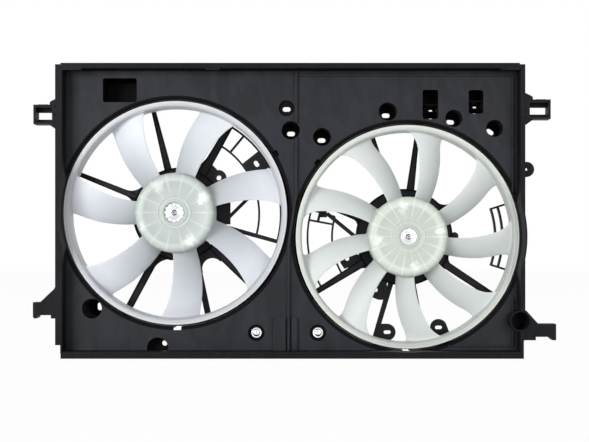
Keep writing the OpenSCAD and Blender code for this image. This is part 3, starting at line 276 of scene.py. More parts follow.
def glass_filled_nylon(name, shades, worn_and_highlit_edge, rough, specular):
    """Black nylon with glass fibre, moulded in a spark-eroded tool: matt, with a fine grain
    and fibre flow marks; its edges are a little paler, partly from rubbing and partly a painted
    highlight along them."""
    material, tree, shader, place = start_finish(
        name, {"IOR": 1.53, "Specular IOR Level": specular}
    )
    edge = add_node(tree, "ShaderNodeBevel", {"Radius": 0.8 * MM}, samples=4)
    flat = add_node(tree, "ShaderNodeNewGeometry").outputs["True Normal"]
    facing = add_node(tree, "ShaderNodeVectorMath", {0: edge, 1: flat}, operation="DOT_PRODUCT")
    # Edge mask: edges paler, partly from rubbing and partly a painted highlight along them
    wear_and_edge_highlight = add_node(
        tree,
        "ShaderNodeMapRange",
        {"Value": facing.outputs["Value"], "From Min": 0.995, "From Max": 0.85, "To Max": 0.5},
    )
    # Flow marks 40 mm apart, drawn out along the way the melt ran
    run = add_node(tree, "ShaderNodeMapping", {"Vector": place, "Scale": (1.0, 1.0, 0.45)})
    flow = add_node(
        tree,
        "ShaderNodeTexNoise",
        {
            "Vector": run,
            "Scale": 1 / (40 * MM),
            "Detail": 5.0,
            "Roughness": 0.6,
            "Distortion": 1.6,
        },
    )
    marks = add_node(
        tree,
        "ShaderNodeMapRange",
        {"Value": flow, "From Min": 0.32, "From Max": 0.68},
        interpolation_type="SMOOTHSTEP",
    )
    mottle = add_node(
        tree,
        "ShaderNodeMixRGB",
        {"Fac": marks, "Color1": colour(shades[0]), "Color2": colour(shades[1])},
    )
    rubbed_and_highlit = add_node(
        tree, "ShaderNodeMixRGB", {"Fac": wear_and_edge_highlight, "Color1": mottle, "Color2": colour(worn_and_highlit_edge)}
    )
    # Tool grain of about 0.1 mm, drawn at 0.9 mm so that it shows
    grain = add_node(
        tree, "ShaderNodeTexNoise", {"Vector": place, "Scale": 1 / (0.9 * MM), "Detail": 2.0}
    )
    gloss = add_node(
        tree,
        "ShaderNodeMapRange",
        {"Value": grain, "To Min": rough - 0.06, "To Max": rough + 0.06},
    )
    bump = add_node(
        tree,
        "ShaderNodeBump",
        {"Height": grain, "Strength": 0.25, "Distance": 0.15 * MM, "Normal": edge},
    )
    link_inputs(tree, shader, {"Base Color": rubbed_and_highlit, "Roughness": gloss, "Normal": bump})
    return material


def round_the_axis(tree, place, axis):
    """A place across a fan's axis, its radius and its angle."""
    centred = add_node(
        tree,
        "ShaderNodeMapping",
        {"Vector": place, "Location": (-axis[0] * MM, FLOOR_DEPTH * MM, -axis[1] * MM)},
    )
    parts = add_node(tree, "ShaderNodeSeparateXYZ", {0: centred}).outputs
    across = add_node(tree, "ShaderNodeCombineXYZ", {"X": parts["X"], "Y": parts["Z"]})
    length = add_node(tree, "ShaderNodeVectorMath", {0: across}, operation="LENGTH")
    angle = add_node(
        tree, "ShaderNodeMath", {0: parts["Z"], 1: parts["X"]}, operation="ARCTAN2"
    )
    return across, length.outputs["Value"], angle


def painted_light_by_radius(tree, radius, shade_and_highlight_bands):
    """Painted light by radius, from the wheel's middle to its rim: painted shade darkens the
    plastic towards the hub, at the hub's edge and where the blades meet the ring, and painted
    highlights pale it on the beads and the shoulder.
    """
    share = add_node(tree, "ShaderNodeMapRange", {"Value": radius, "From Max": WHEEL_R * MM})
    ramp = add_node(tree, "ShaderNodeValToRGB", {"Fac": share})
    stops = ramp.color_ramp.elements
    while len(stops) < len(shade_and_highlight_bands):
        stops.new(0.5)
    for stop, (r, code) in zip(stops, shade_and_highlight_bands):
        stop.position = r / WHEEL_R
        stop.color = colour(code)
    return ramp


def rib_share(tree, radius, angle, count):
    """Where the hub's ribs shine through its face."""
    wave = add_node(tree, "ShaderNodeMath", {0: angle, 1: float(count)}, operation="MULTIPLY")
    crest = add_node(tree, "ShaderNodeMath", {0: wave}, operation="COSINE")
    line = add_node(
        tree,
        "ShaderNodeMapRange",
        {"Value": crest, "From Min": 0.8, "From Max": 0.98},
        interpolation_type="SMOOTHSTEP",
    )
    on_face = add_node(
        tree,
        "ShaderNodeMapRange",
        {"Value": radius, "From Min": (HUB_R + 2) * MM, "From Max": (HUB_R - 5) * MM},
    )
    off_boss = add_node(
        tree,
        "ShaderNodeMapRange",
        {
            "Value": radius,
            "From Min": (BOSS_R + 1) * MM,
            "From Max": (HUB_R - HUB_SHOULDER) * MM,
            "To Min": 0.25,
        },
    )
    shown = add_node(tree, "ShaderNodeMath", {0: line, 1: on_face}, operation="MULTIPLY")
    return add_node(tree, "ShaderNodeMath", {0: shown, 1: off_boss}, operation="MULTIPLY")


def painted_bead_highlight(tree, radius):
    """A painted highlight: a thin pale line where a bead runs round the face and across the ribs.
    """
    off = add_node(
        tree, "ShaderNodeMath", {0: radius, 1: FACE_BEAD_R * MM}, operation="SUBTRACT"
    )
    gap = add_node(tree, "ShaderNodeMath", {0: off}, operation="ABSOLUTE")
    return add_node(
        tree,
        "ShaderNodeMapRange",
        {"Value": gap, "From Min": 1.5 * MM, "From Max": 0.4 * MM, "To Max": 0.65},
        interpolation_type="SMOOTHSTEP",
    )


def streak_share(tree, radius, angle):
    """Fine streaks on the face, where the melt spread out from the middle: about 2.4 degrees
    wide and 55 mm long."""
    turn = add_node(tree, "ShaderNodeMath", {0: angle, 1: 24.0}, operation="MULTIPLY")
    out = add_node(tree, "ShaderNodeMath", {0: radius, 1: 18.0}, operation="MULTIPLY")
    polar = add_node(tree, "ShaderNodeCombineXYZ", {"X": turn, "Y": out})
    fibres = add_node(
        tree,
        "ShaderNodeTexNoise",
        {"Vector": polar, "Scale": 1.0, "Detail": 4.0, "Roughness": 0.7},
    )
    streaked = add_node(
        tree,
        "ShaderNodeMapRange",
        {"Value": fibres, "From Min": 0.35, "From Max": 0.65, "To Max": 0.1},
    )
    on_face = add_node(
        tree,
        "ShaderNodeMapRange",
        {"Value": radius, "From Min": (HUB_R + 4) * MM, "From Max": (HUB_R - 10) * MM},
        interpolation_type="SMOOTHSTEP",
    )
    return add_node(tree, "ShaderNodeMath", {0: streaked, 1: on_face}, operation="MULTIPLY")


def gate_shares(tree, place, across, gates):
    """A blush round each gate, where the plastic was fed in; it spreads unevenly."""
    drift = add_node(
        tree, "ShaderNodeTexNoise", {"Vector": place, "Scale": 1 / (7 * MM), "Detail": 4.0}
    )
    strayed = add_node(
        tree,
        "ShaderNodeMapRange",
        {"Value": drift, "From Min": 0.3, "From Max": 0.7, "To Min": -4 * MM, "To Max": 5 * MM},
    )
    shares = []
    for degrees, r, size, strength in gates:
        a = math.radians(degrees)
        gate = (r * math.cos(a) * MM, r * math.sin(a) * MM, 0.0)
        gap = add_node(
            tree, "ShaderNodeVectorMath", {0: across, 1: gate}, operation="DISTANCE"
        ).outputs["Value"]
        uneven = add_node(tree, "ShaderNodeMath", {0: gap, 1: strayed}, operation="ADD")
        glow = add_node(
            tree,
            "ShaderNodeMapRange",
            {"Value": uneven, "From Min": size * MM, "From Max": 0.0, "To Max": strength},
            interpolation_type="SMOOTHSTEP",
        )
        shares.append(glow)
    return shares


def natural_nylon(name, axis, shade_and_highlight_bands, rib_count, rib_tone_and_bead_highlight, gates):
    """Unfilled nylon in its milky natural colour, into which light sinks a little: paler over
    the hub's ribs and at the gates, with painted shade towards the hub and painted highlights
    on the beads."""
    material, tree, shader, place = start_finish(
        name,
        {
            "IOR": 1.53,
            "Roughness": 0.46,
            "Subsurface Weight": 0.12,
            "Subsurface Radius": (1.0, 1.0, 1.0),
            "Subsurface Scale": 1.5 * MM,
        },
    )
    across, radius, angle = round_the_axis(tree, place, axis)
    # Painted shade towards the hub and at the edges, and painted highlights on the beads and the
    # shoulder, by radius
    tint = painted_light_by_radius(tree, radius, shade_and_highlight_bands)
    layers = [
        (rib_share(tree, radius, angle, rib_count), rib_tone_and_bead_highlight),
        # The bead's pale line is a painted highlight
        (painted_bead_highlight(tree, radius), rib_tone_and_bead_highlight),
        (streak_share(tree, radius, angle), "#8d9591"),
    ]
    layers += [(share, "#ffffff") for share in gate_shares(tree, place, across, gates)]
    for share, code in layers:
        tint = add_node(
            tree, "ShaderNodeMixRGB", {"Fac": share, "Color1": tint, "Color2": colour(code)}
        )
    # Cloudiness about 45 mm wide, and sink marks about 7 mm apart
    cloud = add_node(
        tree, "ShaderNodeTexNoise", {"Vector": place, "Scale": 22.0, "Detail": 3.0}
    )
    depth = add_node(
        tree,
        "ShaderNodeMapRange",
        {"Value": cloud, "From Min": 0.3, "From Max": 0.7, "To Min": 0.97, "To Max": 1.02},
    )
    tinted = add_node(tree, "ShaderNodeVectorMath", {0: tint, "Scale": depth}, operation="SCALE")
    ripple = add_node(
        tree, "ShaderNodeTexNoise", {"Vector": place, "Scale": 1 / (7 * MM), "Detail": 1.0}
    )
    bump = add_node(
        tree, "ShaderNodeBump", {"Height": ripple, "Strength": 0.1, "Distance": 0.2 * MM}
    )
    link_inputs(tree, shader, {"Base Color": tinted, "Normal": bump})
    return material


def cover(tree, shader, stain, shades, gloss, grain, edge_r, strength, height):
    """Two shades, uneven gloss and a fine grain, with edges rounded by edge_r."""
    mix = add_node(
        tree,
        "ShaderNodeMixRGB",
        {"Fac": stain, "Color1": colour(shades[0]), "Color2": colour(shades[1])},
    )
    edge = add_node(tree, "ShaderNodeBevel", {"Radius": edge_r * MM}, samples=4)
    bump = add_node(
        tree,
        "ShaderNodeBump",
        {"Height": grain, "Strength": strength, "Distance": height * MM, "Normal": edge},
    )
    link_inputs(tree, shader, {"Base Color": mix, "Roughness": gloss, "Normal": bump})


def plain_metal(name, shades, rough, grain_mm, stretch=(1.0, 1.0, 1.0)):
    """Bare or plated metal, with a fine grain along the way it was worked."""
    material, tree, shader, place = start_finish(name, {"Metallic": 1.0})
    run = add_node(tree, "ShaderNodeMapping", {"Vector": place, "Scale": stretch})
    grain = add_node(
        tree, "ShaderNodeTexNoise", {"Vector": run, "Scale": 1 / (grain_mm * MM), "Detail": 3.0}
    )
    stain = add_node(tree, "ShaderNodeTexNoise", {"Vector": place, "Scale": 1 / (6 * MM)})
    gloss = add_node(
        tree,
        "ShaderNodeMapRange",
        {"Value": grain, "To Min": rough * 0.7, "To Max": rough * 1.3},
    )
    cover(tree, shader, stain, shades, gloss, grain, 0.3, 0.15, 0.05)
    return material


def coated(name, shades, rough, grain_mm, strength=0.2):
    """Paint, lacquer, pressed resin or sintered stock: two close shades and a fine tooth."""
    material, tree, shader, place = start_finish(name, {"IOR": 1.5})
    # Cloudiness about 17 mm wide
    cloud = add_node(tree, "ShaderNodeTexNoise", {"Vector": place, "Scale": 60.0, "Detail": 5.0})
    grain = add_node(
        tree, "ShaderNodeTexNoise", {"Vector": place, "Scale": 1 / (grain_mm * MM), "Detail": 2.0}
    )
    gloss = add_node(
        tree,
        "ShaderNodeMapRange",
        {"Value": cloud, "To Min": rough - 0.05, "To Max": rough + 0.08},
    )
    cover(tree, shader, cloud, shades, gloss, grain, 0.5, strength, 0.1)
    return material


# One nylon in several copies: the broad floor's own grey, where flow marks show, and a darker
# # copy on the stays; the darker copy on the rims and the nearly black one in the tunnels,
# # pockets and windows are painted shade
floor_nylon = glass_filled_nylon(
    "glass_filled_nylon_floor", ("#25262b", "#2e2f35"), "#55565c", 0.5, 0.13
)
# Painted shade: a darker copy of the same nylon for the rims' walls and flanges
rim_shaded_nylon = glass_filled_nylon(
    "glass_filled_nylon_rim_painted_shade", ("#131417", "#1a1b1f"), "#3e3f45", 0.5, 0.08
)
# Painted shade: a nearly black copy of the same nylon for the tunnels, pockets, windows and seats
deep_shaded_nylon = glass_filled_nylon(
    "glass_filled_nylon_deep_painted_shade", ("#0a0a0c", "#101013"), "#222327", 0.6, 0.06
)
stay_nylon = glass_filled_nylon(
    "glass_filled_nylon_stays", ("#17181c", "#202126"), "#4c4d54", 0.45, 0.14
)
# Moulded polyester: an even, satin black
socket_pbt = coated("black_pbt_socket", ("#222326", "#2a2b2e"), 0.45, 0.8)
# Drawn steel dipped in enamel: smooth and glossy, faintly rippled
black_enamel = coated("black_dipped_steel", ("#1c1d1f", "#26272a"), 0.3, 2.5, strength=0.1)
# Cold-headed steel, zinc plated: bright, with a slight cloud
zinc_plate = plain_metal("zinc_plated_steel", ("#f2f3f5", "#e4e6ea"), 0.22, 0.6)
# Ground on a lathe: fine lines round the work
turned_steel = plain_metal(
    "turned_ground_steel", ("#c4c6ca", "#aeb0b4"), 0.3, 0.5, (1.0, 6.0, 1.0)
)
# Stamped sheets in a stack: thin dark lines between them
core_steel = plain_metal(
    "stacked_electrical_steel", ("#7c7e82", "#66686c"), 0.5, 0.5, (0.2, 6.0, 0.2)
)
# Wire wound side by side: amber copper under clear enamel
enamelled_copper = plain_metal(
    "enamelled_copper_wire", ("#b8632e", "#9c4f22"), 0.35, 0.9, (1.0, 0.2, 1.0)
)
# Pressed and fired: dull dark grey
ferrite = coated("sintered_ferrite", ("#414246", "#4c4d52"), 0.7, 0.7)
# Resin pressed in paper: brown and satin
phenolic = coated("pressed_phenolic", ("#3b2c20", "#4a382a"), 0.5, 0.6)
# Glass laminate under green lacquer: smooth, with the weave faintly through it
board_laminate = coated("lacquered_board", ("#22573a", "#2d6b45"), 0.3, 0.5)
# Pushed through a die: long straight lines
extruded_aluminium = plain_metal(
    "extruded_aluminium", ("#c3c6ca", "#b2b5b9"), 0.42, 0.5, (6.0, 1.0, 0.2)
)

# Rows of radius and colour, with painted shade towards the hub, at the hub's edge and where
# # the blades meet the ring, and painted highlights on the beads and the shoulder; gates give
# # angle, radius, size and strength of their blush
left_nylon = natural_nylon(
    "natural_nylon_left_fan",
    LEFT_AXIS,
    [
        (0, "#c5ccc8"), (18, "#c1c8c5"), (23, "#ccd3cf"), (27, "#bfc6c3"), (45, "#bec5c3"),
        (49, "#ccd4cf"), (56, "#c6cfca"), (60.5, "#bac1c1"), (66, "#bfc4c8"),
        (95, "#cbd0d6"), (135, "#dde1e8"), (156, "#d8dce2"), (160, "#b0b4b8"), (166, "#d9dce0"),
    ],
    14,
    "#d3dbd6",
    [(122, 46, 13, 0.6), (27, 47, 14, 0.95), (-62, 47, 13, 0.9), (-156, 50, 10, 0.6)],
)
right_nylon = natural_nylon(
    "natural_nylon_right_fan",
    RIGHT_AXIS,
    [
        (0, "#cfd6cd"), (18, "#c6cdc4"), (23, "#d4dbd2"), (27, "#cad1c9"), (44, "#cbd2ca"),
        (47.5, "#dde5db"), (56, "#d8e0d6"), (60.5, "#cad1ca"), (66, "#cdd3d0"),
        (95, "#d5dbd9"), (135, "#dce1e0"), (156, "#dadfdd"), (160, "#bcc1bc"), (166, "#dfe5de"),
    ],
    18,
    "#e6eee2",
    [(100, 46, 12, 0.9), (10, 49, 10, 1.0), (-76, 46, 12, 0.9), (-172, 46, 12, 0.9)],
)

CAD_FINISHES = {
    "shroud_panel": floor_nylon,
    "upper_left_floor": floor_nylon,
    "upper_right_floor": floor_nylon,
    "floor_ribs": floor_nylon,
    # The rims, tabs, socket, ribs and gussets take the darker copy of the nylon: painted shade
    "side_boss_plate": rim_shaded_nylon,
    "left_rim": rim_shaded_nylon,
    "right_rim": rim_shaded_nylon,
    "top_rim": rim_shaded_nylon,
    "bottom_rim": rim_shaded_nylon,
    "left_tabs": rim_shaded_nylon,
    "right_tabs": rim_shaded_nylon,
    "tube_socket": rim_shaded_nylon,
    "back_ribs": rim_shaded_nylon,
    "gussets": rim_shaded_nylon,
    # The tunnels, pockets, windows and seats take the nearly black copy of the nylon: painted shade
    "left_tunnel": deep_shaded_nylon,
    "right_tunnel": deep_shaded_nylon,
    "fastener_pockets": deep_shaded_nylon,
    "window_boxes": deep_shaded_nylon,
    "screw_seats": deep_shaded_nylon,
    "left_motor_stay": stay_nylon,
    "right_motor_stay": stay_nylon,
    "right_stay_plates": stay_nylon,
    "controller_housing": stay_nylon,
    "controller_board": board_laminate,
    "controller_heat_sink": extruded_aluminium,
    "left_lock_washer": zinc_plate,
    "left_shaft_nut": zinc_plate,
    "right_shaft_nut": zinc_plate,
    "panel_screws": zinc_plate,
}
MOTOR_FINISHES = {
    "fan_insert": turned_steel,
    "motor_case": black_enamel,
    "motor_end_cover": black_enamel,
    "motor_shaft": turned_steel,
    "armature_core": core_steel,
    "armature_winding": enamelled_copper,
    "commutator": enamelled_copper,
    "magnets": ferrite,
    "front_bearing": turned_steel,
    "rear_bearing": turned_steel,
    "brush_holder": phenolic,
    "motor_socket": socket_pbt,
    "motor_screws": zinc_plate,
}
for side in ("left", "right"):
    for part, finish in MOTOR_FINISHES.items():
        CAD_FINISHES[f"{side}_{part}"] = finish
for name, finish in CAD_FINISHES.items():
    for slot in CAD_NODES[name].material_slots:
        slot.material = finish


# Fan wheels

# Angle at the hub and sweep in degrees; widths along the wheel and heights along its axis, at
# the hub and at the ring; flare is what the tip gains in width
Blade = namedtuple("Blade", "root_angle sweep root_w tip_w root_h tip_h flare")
LEFT_BLADE = Blade(25.3, 10.5, 33.0, 55.0, 25.0, 18.0, 3.0)
RIGHT_BLADE = Blade(-12.6, 12.4, 25.0, 41.0, 23.0, 16.0, 14.0)


def corner_growth(gap, radius):
    """How far a blade swells at this gap from the wall that it runs into."""
    if gap >= radius:
        return 0.0
    gap = max(gap, 0.0)
    return radius - math.sqrt(radius**2 - (radius - gap) ** 2)


def blade_points(shape, swing, stations, across):
    """A blade's loft: at each station a thin cambered section, swept and twisted."""
    root_angle, sweep, root_w, tip_w, root_h, tip_h, flare = shape
    root_r, tip_r = HUB_R - WHEEL_WALL / 2, RING_R + WHEEL_WALL / 2
    points = []
    for t in stations:
        r = root_r + (tip_r - root_r) * t
        swell = corner_growth(r - HUB_R, ROOT_ROUND) + corner_growth(RING_R - r, TIP_ROUND)
        flared = flare * max(0.0, (t - FLARE_FROM) / (1 - FLARE_FROM)) ** 2
        w = root_w + (tip_w - root_w) * t + flared
        h = root_h + (tip_h - root_h) * t
        chord = math.hypot(w, h)
        stretch = 1 + 2 * swell / chord
        for side in (1, -1):
            for j in range(across + 1):
                k = j if side > 0 else across - j
                u = (1 - math.cos(math.pi * k / across)) / 2
                half = BLADE_T / 2 * (0.25 + 1.5 * math.sqrt(u * (1 - u))) + swell
                off = 4 * BLADE_CAMBER * u * (1 - u) + side * half
                along = (u - 0.5) * w * stretch + off * h / chord
                depth = HUB_BACK / 2 + (u - 0.5) * h * stretch - off * w / chord
                a = math.radians(root_angle - swing * sweep * t**SWEEP_POWER) + swing * along / r
                points.append((r * math.cos(a), depth, r * math.sin(a)))
    return points


def blade(name, shape, swing):
    """One closed blade that reaches into the hub and the ring."""
    across = 22
    # Stations stand closer where the blade swells into the hub and the ring
    even = [i / 40 for i in range(41)]
    near_root = [0.008, 0.014, 0.02, 0.03]
    near_tip = [0.945, 0.96, 0.968, 0.98, 0.984, 0.988]
    stations = sorted(even + near_root + near_tip)
    points = blade_points(shape, swing, stations, across)
    loop = 2 * (across + 1)
    last = (len(stations) - 1) * loop
    faces = []
    for i in range(0, last, loop):
        for j in range(loop):
            m = (j + 1) % loop
            faces.append((i + j, i + m, i + loop + m, i + loop + j))
    for j in range(across):
        faces.append((j, j + 1, loop - 2 - j, loop - 1 - j))
        faces.append((last + j, last + loop - 1 - j, last + loop - 2 - j, last + j + 1))
    return mesh_object(name, points, faces)


def hub_outline(recess_r):
    """The hub's section: a cup with a rounded shoulder, two beads and a recess."""
    edge = 0.8
    bead_r, bead_half = 24.3, 1.4
    collar_r = recess_r + 3.4
    sunk = HUB_FRONT + 0.9  # the face between the beads
    face = HUB_FRONT + 0.6
    face_back = HUB_FRONT + WHEEL_WALL
    shoulder = (HUB_R - HUB_SHOULDER, HUB_FRONT + HUB_SHOULDER)
    outline = [(recess_r, RECESS_FLOOR)]
    outline += arc(recess_r + edge, HUB_FRONT + 0.5, edge, 180, 270, 5)
    outline += arc(collar_r - edge, HUB_FRONT + 0.5, edge, 270, 345, 4)
    outline += [(collar_r + 0.6, sunk), (bead_r - bead_half, sunk)]
    outline += arc(bead_r, HUB_FRONT + 0.7, 1.0, 190, 350, 8)
    outline += [(bead_r + bead_half, face), (46.0, face)]
    outline += [(47.0, HUB_FRONT + 0.1), (48.0, HUB_FRONT)]
    outline += arc(*shoulder, HUB_SHOULDER, 270, 360, 14)
    outline += arc(HUB_R - edge, HUB_BACK - edge, edge, 0, 90, 4)
    outline += [(HUB_R - WHEEL_WALL, HUB_BACK)]
    outline += arc(*shoulder, HUB_SHOULDER - WHEEL_WALL, 0, -90, 10)
    outline += [(BOSS_R + 1.5, face_back), (BOSS_R, face_back + 1.5)]
    outline += [(BOSS_R, BOSS_BACK - 0.6), (BOSS_R - 0.6, BOSS_BACK)]
    outline += [(INSERT_R, BOSS_BACK), (INSERT_R, RECESS_FLOOR)]
    return outline


def ring_outline():
    """The ring's section: a short tube with a rounded mouth and a lip with a groove."""
    edge = 0.8
    mouth = 4.0
    groove = RING_FRONT + 0.6
    lip = RING_FRONT + 2.4
    wall_r = RING_R + WHEEL_WALL
    outline = arc(RING_R + mouth, RING_FRONT + mouth, mouth, 180, 270, 10)
    outline += [(WHEEL_R - 3.4, RING_FRONT), (WHEEL_R - 2.9, groove)]
    outline += [(WHEEL_R - 2.2, groove), (WHEEL_R - 1.7, RING_FRONT)]
    outline += arc(WHEEL_R - edge, RING_FRONT + edge, edge, 270, 360, 4)
    outline += [(WHEEL_R, lip + 0.2), (WHEEL_R - 0.4, lip + 0.6), (RING_R + 5.4, lip + 0.6)]
    outline += arc(RING_R + 5.4, lip + 3.5, 2.9, 270, 180, 6)
    outline += [(wall_r, RING_BACK - 0.5), (wall_r - 0.5, RING_BACK)]
    outline += [(RING_R + 0.4, RING_BACK), (RING_R, RING_BACK - 0.5)]
    return outline


def hub_rib(name):
    """A rib behind the hub's face, which tapers towards its free edge."""
    front, back = HUB_FRONT + WHEEL_WALL - 0.4, 2.0
    inner, outer = BOSS_R - 0.5, HUB_R - WHEEL_WALL + 0.5
    points = []
    for r in (inner, outer):
        for depth, half in ((front, 0.9), (back, 0.6)):
            points += [(r, depth, -half), (r, depth, half)]
    faces = [(0, 1, 3, 2), (4, 6, 7, 5), (0, 2, 6, 4), (1, 5, 7, 3), (0, 4, 5, 1), (2, 3, 7, 6)]
    return mesh_object(name, points, faces)


def fan_wheel(side, axis, shape, swing, blades, recess_r, finish):
    """A moulded wheel: hub, blades and ring in one plastic."""
    hub = mesh_object(f"{side}_hub", *turned(hub_outline(recess_r)), finish)
    ring = mesh_object(f"{side}_ring", *turned(ring_outline(), 288), finish)
    vanes = copied_round(blade(f"{side}_blade", shape, swing), blades, finish)
    ribs = copied_round(hub_rib(f"{side}_hub_rib"), 2 * blades, finish)
    wheel = put_on_axis(joined(f"{side}_fan_wheel", [hub, ring, vanes, ribs]), axis)
    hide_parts(f"{side}_fan")
    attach(wheel, f"{side}_rotor")


fan_wheel("left", LEFT_AXIS, LEFT_BLADE, 1, 7, 16.0, left_nylon)
fan_wheel("right", RIGHT_AXIS, RIGHT_BLADE, -1, 9, 13.0, right_nylon)


# What stands round the wheels


def tunnel_lip(side, axis, drain_at):
    """The tunnel's narrow rear lip, seen past the wheel's edge, open at the drain."""
    half_drain = 2.1
    edge = 0.6
    inner, outer, front, back = 166.0, 171.4, 47.0, 49.9
    outline = [(inner, front + edge), (inner + edge, front), (outer, front)]
    outline += [(outer, back), (inner, back)]
    sector = turned(outline, 180, drain_at + half_drain, drain_at + 360 - half_drain)
    # Made in the nearly black copy of the nylon: painted shade
    lip = mesh_object(f"{side}_tunnel_lip", *sector, deep_shaded_nylon)
    put_on_axis(lip, axis)
    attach(lip, "shroud")


tunnel_lip("left", LEFT_AXIS, -89.0)
tunnel_lip("right", RIGHT_AXIS, -90.3)

STAY_FRONT = 50.0
STAY_REACH = 170.0
# Each arm's angle, and its width at the motor's ring and at the tunnel
LEFT_ARMS = [(158.2, 10, 7), (104, 11.8, 6.5), (60, 15, 9), (-44.5, 13, 10), (241.7, 11.6, 11)]
RIGHT_ARMS = [
    (82.8, 12.8, 6.3), (108, 10, 9), (33, 11, 10), (-33.5, 12, 10.5), (211.8, 13, 8), (157, 11, 10),
]


def rail(name, start, end, width=1.7):
    """A low rounded rail between two points on a stay's front face."""
    run = Vector(end) - Vector(start)
    across = Vector((-run.y, run.x)).normalized() * width / 2
    section = [(-1, -0.2), (-1, 0.9), (-0.5, 1.4), (0.5, 1.4), (1, 0.9), (1, -0.2)]
    count = len(section)
    points = []
    for x, z in (start, end):
        for share, rise in section:
            points.append((x + share * across.x, STAY_FRONT - rise, z + share * across.y))
    faces = [(k, (k + 1) % count, (k + 1) % count + count, k + count) for k in range(count)]
    faces += [tuple(range(count)), tuple(range(count, 2 * count))]
    # Made in the nearly black copy of the nylon: painted shade
    return mesh_object(name, points, faces, deep_shaded_nylon)


def stay_rails(side, axis, arms, ring_r, sector):
    """The raised edges of a stay's arms, and the wall that stands round its ring."""
    foot, top, edge = STAY_FRONT + 0.2, STAY_FRONT - 1.6, 0.4
    inner, outer = ring_r - 2.6, ring_r - 0.2
    wall = [(inner, foot), (inner, top + edge), (inner + edge, top)]
    wall += [(outer - edge, top), (outer, top + edge), (outer, foot)]
    # The wall and the rails are made in the nearly black copy of the nylon: painted shade
    pieces = [mesh_object(f"{side}_ring_wall", *turned(wall, 150, *sector), deep_shaded_nylon)]
    for degrees, root, tip in arms:
        c, s = math.cos(math.radians(degrees)), math.sin(math.radians(degrees))
        for hand in (-1, 1):
            ends = []
            for r, width in ((ring_r - 0.5, root), (STAY_REACH, tip)):
                off = hand * (width / 2 - 1.1)
                ends.append((r * c - off * s, r * s + off * c))
            pieces.append(rail(f"{side}_rail", *ends))
    rails = put_on_axis(joined(f"{side}_stay_rails", pieces), axis)
    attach(rails, "shroud")


stay_rails("left", LEFT_AXIS, LEFT_ARMS, 72.0, (22.0, 340.0))
stay_rails("right", RIGHT_AXIS, RIGHT_ARMS, 75.0, (0.0, 360.0))


# Fasteners

WASHER_FRONT = RECESS_FLOOR - 1.2
WASHER_TEETH = 12
NUT_HALF = 6.5  # across the flats, halved
NUT_CORNER_R = 7.3
NUT_DRAWN_R = 7.0


def washer_teeth(r, a):
    """Round teeth, at the washer's edge only."""
    return 1.0 + 1.0 * math.tanh(1.8 * math.cos(WASHER_TEETH * a)) if r > 11 else 0.0


def lock_washer():
    """A dished washer whose toothed edge bites into the hub's recess."""
    top, seat = WASHER_FRONT, RECESS_FLOOR
    outline = [(BORE_R, seat), (BORE_R, top + 0.15), (4.2, top), (8.9, top), (9.3, top + 0.25)]
    outline += [(9.9, top + 0.25), (10.3, top), (11.6, top), (12.3, top + 0.12)]
    outline += [(12.6, top + 0.45), (12.6, seat)]
    toothed = turned(outline, 288, growth=washer_teeth)
    washer = mesh_object("left_toothed_washer", *toothed, zinc_plate)
    put_on_axis(washer, LEFT_AXIS)
    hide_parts("left_lock_washer")
    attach(washer, "left_rotor")


def nut_flats(r, a):
    """Six flats, worn round at the corners; the bore and the flange stay round."""
    if r < 5.5 or r > 7.4:
        return 0.0
    sector = (a % (math.pi / 3)) - math.pi / 6
    return min(NUT_HALF / math.cos(sector), NUT_CORNER_R) - NUT_DRAWN_R


def flanged_nut(side, axis, flange_r, seat):
    """A flanged nut, chamfered at the top."""
    top = seat - 4.0
    outline = [(BORE_R, seat), (BORE_R, top + 0.5), (4.7, top), (5.4, top)]
    outline += [(NUT_DRAWN_R, top + 0.6), (NUT_DRAWN_R, seat - 1.9), (7.6, seat - 1.5)]
    outline += [(flange_r - 0.4, seat - 1.1), (flange_r, seat - 0.7), (flange_r, seat)]
    nut = mesh_object(f"{side}_flanged_nut", *turned(outline, 144, growth=nut_flats), zinc_plate)
    put_on_axis(nut, axis)
    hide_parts(f"{side}_shaft_nut")
    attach(nut, f"{side}_rotor")


def centre_hollow_shade(side, axis):
    """Painted shade: thin black discs and arcs standing for the hollows that the lathe centre and
    the staking tool leave in a shaft's end.
    """
    tip = HUB_FRONT - 3.0
    front, back = tip - 0.12, tip + 0.2
    rings = []
    for name, inner, outer, start, end in (
        ("centre_hole_shade", 0.0, 1.3, 0, 360),
        ("upper_ring", 2.5, 3.8, 30, 215),
        ("lower_ring", 2.5, 3.8, 240, 330),
    ):
        outline = [(inner, front), (outer, front), (outer, back), (inner, back)]
        sector = turned(outline, 48, start, end)
        rings.append(mesh_object(f"{side}_{name}", *sector, black_enamel))
    mark = put_on_axis(joined(f"{side}_centre_hollow_shade", rings), axis)
    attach(mark, f"{side}_rotor")


lock_washer()
flanged_nut("left", LEFT_AXIS, 10.0, WASHER_FRONT)
flanged_nut("right", RIGHT_AXIS, 12.5, RECESS_FLOOR)
# Painted shade in each shaft's end
centre_hollow_shade("left", LEFT_AXIS)
centre_hollow_shade("right", RIGHT_AXIS)

SCREW_SEAT = 6.0
SCREW_BACK = 15.5
SCREW_SHANK_R = 3.0
WASHER_R = 8.1
SCREWS = {"left": (-57.5, 36.0), "right": (35.0, 36.0)}  # X and height


def washer_head_screw(name, place):
    """A pan head on a pressed washer, with a round driving recess."""
    head = [(0.0, 1.8), (1.5, 1.8), (1.7, 3.3), (2.4, 3.7), (4.0, 3.4), (5.0, 2.6), (5.2, 1.5)]
    washer = [(5.8, 1.1), (7.5, 1.3), (8.0, 1.0), (WASHER_R, 0.6), (WASHER_R, 0.0)]
    outline = [(r, SCREW_SEAT - rise) for r, rise in head + washer]
    outline += [(SCREW_SHANK_R, SCREW_SEAT), (SCREW_SHANK_R, SCREW_BACK), (0.0, SCREW_BACK)]
    return put_on_axis(mesh_object(name, *turned(outline, 96), zinc_plate), place)


